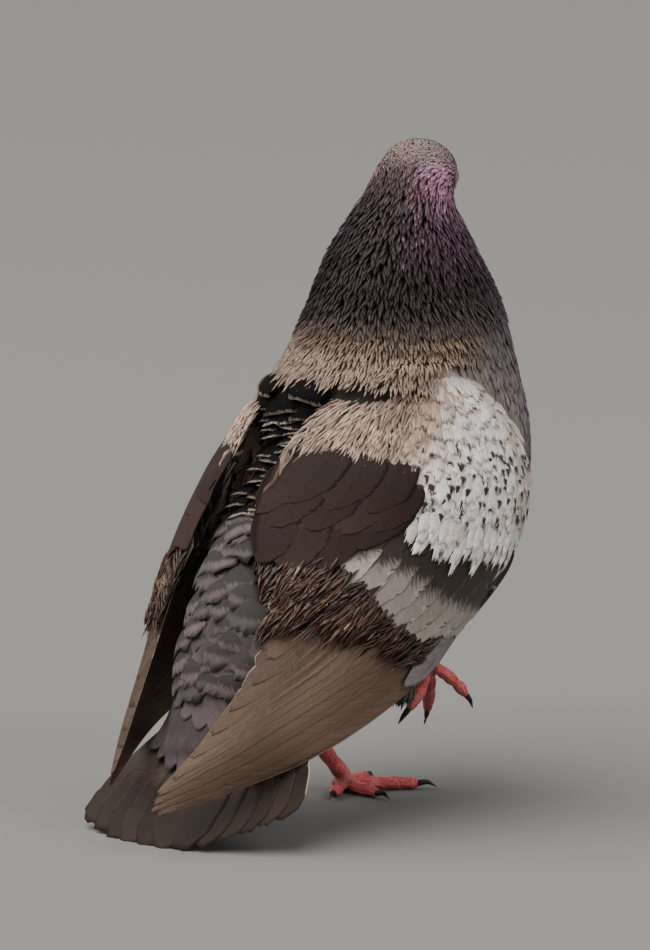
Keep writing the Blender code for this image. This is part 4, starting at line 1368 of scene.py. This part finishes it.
for word, way in (("left", (-0.28, -0.56, -0.78)), ("right", (-0.10, 0.30, -0.95))):
    corners, _ = corners_of(frame["nodes"][f"thigh_{word}"])
    end, way = corners[corners[:, 2].argmin()], np.array(way)
    one = np.cross(way, (1.0, 0.0, 0.0))
    one /= np.linalg.norm(one)
    tuft = []
    for n in range(48):
        angle, away = 2.4 * n, 0.0036 * math.sqrt((n + 0.5) / 48)
        out = one * math.cos(angle) + np.cross(way, one) * math.sin(angle)
        root = end - way * 0.0035 + out * away
        long = 0.0095 * (0.7 + 0.5 * rng.random())
        colour = jitter(srgb("5b504c"), 0.3)
        middle, tip = root + way * long / 2 + out * 0.0013, root + way * long + out * 0.0009
        tuft.append(
            feather("wispy", root, middle, tip, out, 0.0030, colour, lit(colour, 1.3), spot_at(root))
        )  # fmt: skip
    plant(f"thigh_tuft_{word}", note(tuft), plumage, "body_feathers")

# ---------------------------------------------------------------- feathers at the edges and under the wings
# Wherever the coat is still thin, on the wings' inner edges and undersides and on the thighs' ends, soft grey
# feathers close it.


def planted_so_far():
    """A search tree on the roots of all feathers planted so far, and their colours."""
    tree = KDTree(len(all_roots))
    for n, root in enumerate(all_roots):
        tree.insert(root, n)
    tree.balance()
    return tree, np.array(all_tints)


THIN_COAT, FILLER_APART = 0.0050, 0.0036  # metres from the nearest root where feathers are added, and apart
skin_corners, skin_normals = corners_of(skin)
planted, tints = planted_so_far()
filler, cells = [], set()
for n in rng.permutation(len(skin_corners)):
    place, normal = skin_corners[n], skin_normals[n]
    cell = tuple(np.floor(place / FILLER_APART).astype(int))
    if cell in cells:
        continue
    gap = planted.find(place)[2]
    if gap < THIN_COAT or on_face(place + normal * 0.002) or place[2] < 0.004:
        continue
    if skin_tree.ray_cast(Vector(place + normal * 0.0006), Vector(normal), 0.007)[0] is not None:
        continue
    cells.add(cell)
    near = planted.find_n(place, 5)
    colour = jitter(np.mean([tints[k] for _, k, _ in near], axis=0) * 0.9, 0.15)
    s, way, _ = (v[0] for v in along_spine(place[None]))
    if np.linalg.norm(way - normal * (way @ normal)) < 0.2:
        continue
    way = swing(flat(way, normal), normal, 8 * rng.normal())
    shape, long, wide = ("soft", 0.012, 0.0052) if s > HEAD_END else ("fine", 0.004, 0.002)
    middle, end = over_skin(place + way * long / 2, 0.0011)[0], over_skin(place + way * long, 0.0016)[0]
    root, tip = place - normal * 0.0003, lit(colour, 1.12)
    filler.append(feather(shape, root, middle, end, normal, wide, colour, tip, spot_at(place)))
plant("edge_feathers", note(filler), plumage, "body_feathers")

# ---------------------------------------------------------------- skin, its colours
# The skin takes the colour of the nearest feathers, in shade, so that it reads as the coat's dark depth.


def textured(tree, kind, scale, inputs=None, **settings):
    """The wire of a texture laid on the piece's own places."""
    where = wire(tree, "ShaderNodeTexCoord", "Object")
    laid = {"Vector": where, "Scale": scale, **(inputs or {})}
    return wire(tree, f"ShaderNodeTex{kind}", "Fac" if kind == "Noise" else "Distance", laid, **settings)


planted, tints = planted_so_far()
shades = np.array([tints[[k for _, k, _ in planted.find_n(place, 4)]].mean(0) for place in skin_corners])
# painted shade: the skin is darkened most under the mantle's fringe and the back plates, least on the head
depth = np.interp(along_spine(skin_corners)[0], (0, 1.8, 2.4, 3.2, 5.2, 5.6, 6.5, 6.8, 10.0, 10.6, 20.0),
                  (0.80, 0.80, 0.45, 0.24, 0.24, 0.60, 0.60, 0.05, 0.05, 0.20, 0.30))  # fmt: skip
give(skin.data, "tint", shades * depth[:, None], "FLOAT_VECTOR")
skin_look, tree, shader = plain_finish("skin under the feathers", (0.1, 0.1, 0.1), 0.9)
downy = relief(tree, textured(tree, "Noise", 900), 0.0003)
feed(shader, {"Base Color": read(tree, "tint", "Color"), "Normal": downy})
dress(skin, skin_look, "body_feathers", *FLESH, *ARMS)

# ---------------------------------------------------------------- legs
# Bare red legs: the shank and the toes have soft swollen skin under small net-like scales, with broader
# plates across the tops of the toes. Each leg is one skin from the heel to the claws.


def stops(tree, factor, rows):
    """The wire of a colour that runs through rows of (place, colour code) as a factor grows."""
    made = wire(tree, "ShaderNodeValToRGB", "Color", {"Fac": factor})
    elements = made.socket.node.color_ramp.elements
    for k, (place, code) in enumerate(rows):
        stop = elements[k] if k < 2 else elements.new(place)
        stop.position, stop.color = place, paint(code)
    return made


TOE_WORDS = ("hallux", "inner", "middle", "outer")
TOE_PLATE, TOE_PAD = 0.0017, 0.0042  # how long a scale plate and a toe's swelling are, in metres
leg_look, tree, shader = plain_finish("red leg skin", srgb("bf4244"), 0.5)
net = textured(tree, "Voronoi", 820, feature="DISTANCE_TO_EDGE")
patches = textured(tree, "Noise", 160)
reds = stops(tree, patches, ((0.3, "cc3a44"), (0.5, "f24f55"), (0.75, "ff8c88")))
netted = blend(tree, (1.0 - net * 7.0).clamped() * 0.55, reds, paint("f3c0b8"))
# brown on the toes' undersides and round the foot pad
brown_underneath = (read(tree, "sole") * (patches + 0.25)).clamped()
feed(shader, {"Base Color": blend(tree, brown_underneath, netted, paint("5b4034")), "Subsurface Weight": 0.12,
              "Subsurface Radius": (0.002, 0.0006, 0.0004),
              "Normal": relief(tree, (net * 2.2).clamped(), 0.00035, 0.5)})  # fmt: skip

claw_look, tree, shader = plain_finish("dark claw horn", srgb("241f1e"), 0.35)
grain = textured(tree, "Noise", 700)
worn = (read(tree, "worn") * (grain + 0.3)).clamped()
horn = blend(tree, worn, paint("231d1c"), paint("8d8378"))
feed(shader, {"Base Color": horn, "Normal": relief(tree, grain, 0.0001)})


def line_through(node):
    """The middle, long way and half length of a CAD node."""
    places, _ = corners_of(frame["nodes"][node])
    middle = (places.min(0) + places.max(0)) / 2
    way = np.linalg.svd(places - places.mean(0), full_matrices=False)[2][0]
    reach = (places - middle) @ way
    return middle + way * (reach.max() + reach.min()) / 2, way, (reach.max() - reach.min()) / 2


def reshape(obj, places):
    """Moves an object's corners to new places."""
    obj.data.vertices.foreach_set("co", places.ravel())
    obj.data.update()


def crinkle(places, fineness):
    """Small ups and downs at places, between -1 and 1."""
    return np.array([noise.noise(Vector(p * fineness)) for p in places])


for word in ("left", "right"):
    bones = [f"shank_{word}", f"foot_pad_{word}"] + [f"toe_{word}_{toe}" for toe in TOE_WORDS]
    ankle = np.array(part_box(f"foot_pad_{word}")).mean(0)
    leg = fused(f"leg_{word}", bones, 0.0003, 0.00042, 3, 0.0)
    places, outs = corners_of(leg)
    best, along, top = np.full(len(places), 9.0), np.zeros(len(places)), np.zeros(len(places))
    for middle, way, half in [line_through(bone) for bone in bones if "pad" not in bone]:
        reach = np.clip((places - middle) @ way, -half, half)
        away = places - middle - reach[:, None] * way
        gap = np.linalg.norm(away, axis=1)
        closer = gap < best
        best[closer], along[closer] = gap[closer], reach[closer]
        upward = np.array((0, 0, 1.0)) if abs(way[2]) < 0.8 else np.array((0, -1.0, 0))
        top[closer] = (away @ upward / (gap + 1e-9))[closer]
    plates = np.abs(np.sin(along / TOE_PLATE * math.pi)) ** 0.6 - 0.6
    joints = np.sin(along / TOE_PAD * math.pi)
    rise = 0.00013 * plates * np.clip(top + 0.4, 0, 1) + 0.00016 * joints
    rise += 0.00018 * crinkle(places, 900)
    places = places + outs * rise[:, None]
    places[:, 2] = np.maximum(places[:, 2], 0.0)
    low = np.clip(-outs[:, 2] * 1.5 - 0.3, 0, 1)
    heel = np.clip(1 - np.linalg.norm(places - ankle - (0, 0.004, -0.001), axis=1) / 0.008, 0, 1)
    give(leg.data, "sole", np.clip(low + heel * 1.2, 0, 1))
    reshape(leg, places)
    dress(leg, leg_look, "leg_skin", *bones)
    for toe in TOE_WORDS:
        node = f"claw_{word}_{toe}"
        claw = fused(f"{node}_horn", (node,), 0.00005, 0.00022, 4, 0.0)
        places, _ = corners_of(claw)
        far = np.linalg.norm(places - ankle, axis=1)
        far = (far - far.min()) / (far.max() - far.min())
        back = places[far < 0.1].mean(0) - places[(far > 0.15) & (far < 0.35)].mean(0)
        places += back / np.linalg.norm(back) * 0.0012 * np.clip(1 - far / 0.2, 0, 1)[:, None]
        places[:, 2] = np.maximum(places[:, 2], 0.0)
        give(claw.data, "worn", np.clip((far - 0.62) * 2.2, 0, 1))
        reshape(claw, places)
        dress(claw, claw_look, "claw_horn", node)

# ---------------------------------------------------------------- bill and cere
# A slender dark bill in two halves that meet along the mouth line, with a slit nostril on each side under the
# swollen chalk-white cere.


def horny(name, codes, roughness, scale, bump):
    """A finish that runs from one colour at the face to another at the tip, with fine grain, and near-black
    nostril slits that are painted shade in their recess.
    """
    made, tree, shader = plain_finish(name, srgb(codes[0]), roughness)
    grain = textured(tree, "Noise", scale, {"Detail": 4})
    far = (read(tree, "far") + (grain - 0.5) * 0.5).clamped()
    mixed = blend(tree, far, paint(codes[0]), paint(codes[1]))
    # painted shade: the nostril slits are painted near-black
    slit_shaded = blend(tree, read(tree, "pit"), mixed, (0.01, 0.008, 0.008, 1))
    feed(shader, {"Base Color": slit_shaded, "Normal": relief(tree, grain, bump)})
    return made


bill_look = horny("bill horn", ("272120", "443c38"), 0.45, 900, 0.0001)
cere_look = horny("chalky cere", ("cfc8c1", "e6e1dc"), 0.85, 1500, 0.0003)
for node, look, slot in (("bill_upper", bill_look, "bill_horn"), ("bill_lower", bill_look, "bill_horn"),
                         ("cere", cere_look, "cere_skin")):  # fmt: skip
    piece = fused(f"{node}_finished", (node,), 0.0001, 0.00022, 4, -0.00020)
    places, outs = corners_of(piece)
    inner = np.array(head_place.inverted())
    local = (places @ inner[:3, :3].T + inner[:3, 3]) / CM
    far = np.clip((-local[:, 1] - 2.6) / 1.5, 0, 1)
    pit = np.zeros(len(places))
    if node == "bill_upper":
        # the nostril slits: dented, and painted near-black as painted shade
        slit = ((-local[:, 1] - 2.98) / 0.30) ** 2 + ((local[:, 2] + 0.33) / 0.055) ** 2
        pit = np.clip(1.3 - slit, 0, 1) * (np.abs(local[:, 0]) > 0.12)
    places = places - outs * (pit * 0.0006)[:, None]
    if node == "cere":
        places = places + outs * 0.00012 * crinkle(places, 1300)[:, None]
    give(piece.data, "far", far)
    give(piece.data, "pit", pit)
    reshape(piece, places)
    dress(piece, look, slot, node)

# ---------------------------------------------------------------- eyes
# Each eye is a glossy ball with a black pupil in an orange-red iris that is yellower inside, set in a ring of
# bare grey skin whose thin lids hug the ball.

EYE_RADIUS, LID_OPEN = 0.0046, 0.0037
# the lid's ring in mm: away from the eye's axis, and out along it
LID_RING = ((3.62, 2.55), (3.68, 3.02), (3.95, 3.30), (4.35, 3.34), (4.8, 3.18), (5.3, 2.75), (5.75, 2.1),
            (6.1, 1.2))  # fmt: skip
BALL_RINGS, BALL_SIDES, LID_SIDES = 24, 48, 72
IRIS = ((0.0, "060404"), (0.385, "060404"), (0.42, "c77a1c"), (0.52, "e0641c"), (0.72, "cf4416"),
        (0.86, "8e2410"), (0.97, "2a0f0b"))  # fmt: skip
eye_look, tree, shader = plain_finish("eyeball", srgb("b03a12"), 0.12)
fineness = {0: read(tree, "spin", "Vector"), 1: (9.0, 9.0, 3.0)}
fibres = wire(tree, "ShaderNodeVectorMath", 0, fineness, operation="MULTIPLY")
rays = wire(tree, "ShaderNodeTexNoise", "Fac", {"Vector": fibres, "Scale": 1.0, "Detail": 3.0})
iris = stops(tree, read(tree, "out") + (rays - 0.5) * 0.16, IRIS)
feed(shader, {"Base Color": iris, "Coat Weight": 1.0, "Coat Roughness": 0.03})

lid_look, tree, shader = plain_finish("bare eye ring", srgb("8f8480"), 0.6)
crease = textured(tree, "Voronoi", 2200)
grey = stops(tree, crease, ((0, "7a6c69"), (1, "a59a94")))
feed(shader, {"Base Color": grey, "Normal": relief(tree, crease, 0.0002)})

for word in ("left", "right"):
    way = Vector(eye_ways[word])
    across = way.cross(Vector((0, 0, 1))).normalized()
    upward = across.cross(way)
    middle = Vector(eye_middles[word])
    places, outs, spins = [], [], []
    for i in range(BALL_RINGS + 1):
        angle = math.pi * i / BALL_RINGS
        bulge = 1 + 0.045 * max(math.cos(angle) - 0.75, 0) / 0.25
        for k in range(BALL_SIDES):
            turn = 2 * math.pi * k / BALL_SIDES
            round_way = across * math.cos(turn) + upward * math.sin(turn)
            places.append(middle + EYE_RADIUS * bulge * (way * math.cos(angle) + round_way * math.sin(angle)))
            outs.append(EYE_RADIUS * math.sin(min(angle, math.pi / 2)) / LID_OPEN)
            spins.append((math.cos(turn), math.sin(turn), outs[-1]))
    faces = []
    for i in range(BALL_RINGS):
        for k in range(BALL_SIDES):
            n, m = i * BALL_SIDES + k, i * BALL_SIDES + (k + 1) % BALL_SIDES
            faces.append((n, n + BALL_SIDES, m + BALL_SIDES, m))
    ball = new_mesh_object(f"eyeball_{word}", places, faces)
    give(ball.data, "out", outs)
    give(ball.data, "spin", spins, "FLOAT_VECTOR")
    face_outward(ball.data, merge=1e-7)
    dress(ball, eye_look, "eye", f"eye_{word}")

    profile = [smooth(LID_RING, s) for s in np.linspace(0, len(LID_RING) - 1, 22)]
    loop = [tuple(p) for p in profile] + [(r - 0.25, x - 0.55) for r, x in profile[::-1]]
    places, faces, size = [], [], len(loop)
    for k in range(LID_SIDES):
        turn = 2 * math.pi * k / LID_SIDES
        # the brow hangs a little, and the lids come to soft corners in front and behind
        narrow = 1 - 0.05 * abs(math.sin(turn)) + 0.03 * math.cos(2 * turn)
        round_way = across * math.cos(turn) + upward * math.sin(turn)
        for n, (r, x) in enumerate(loop):
            bead = 0.05 * math.sin(turn * 24) * math.exp(-((r - 4.0) ** 2) * 6)
            places.append(middle + (round_way * (r * (narrow if r < 4.5 else 1)) + way * (x + bead)) / 1000)
            a, b = k * size, (k + 1) % LID_SIDES * size
            faces.append((a + n, a + (n + 1) % size, b + (n + 1) % size, b + n))
    lid = new_mesh_object(f"eye_ring_{word}", places, faces)
    face_outward(lid.data)
    dress(lid, lid_look, "eye")

# ---------------------------------------------------------------- finish
# The shelf of vanes and the working outline are put away.

bpy.data.objects.remove(outline)
for spare in list(vane_shelf.objects):
    bpy.data.objects.remove(spare)
bpy.data.collections.remove(vane_shelf)
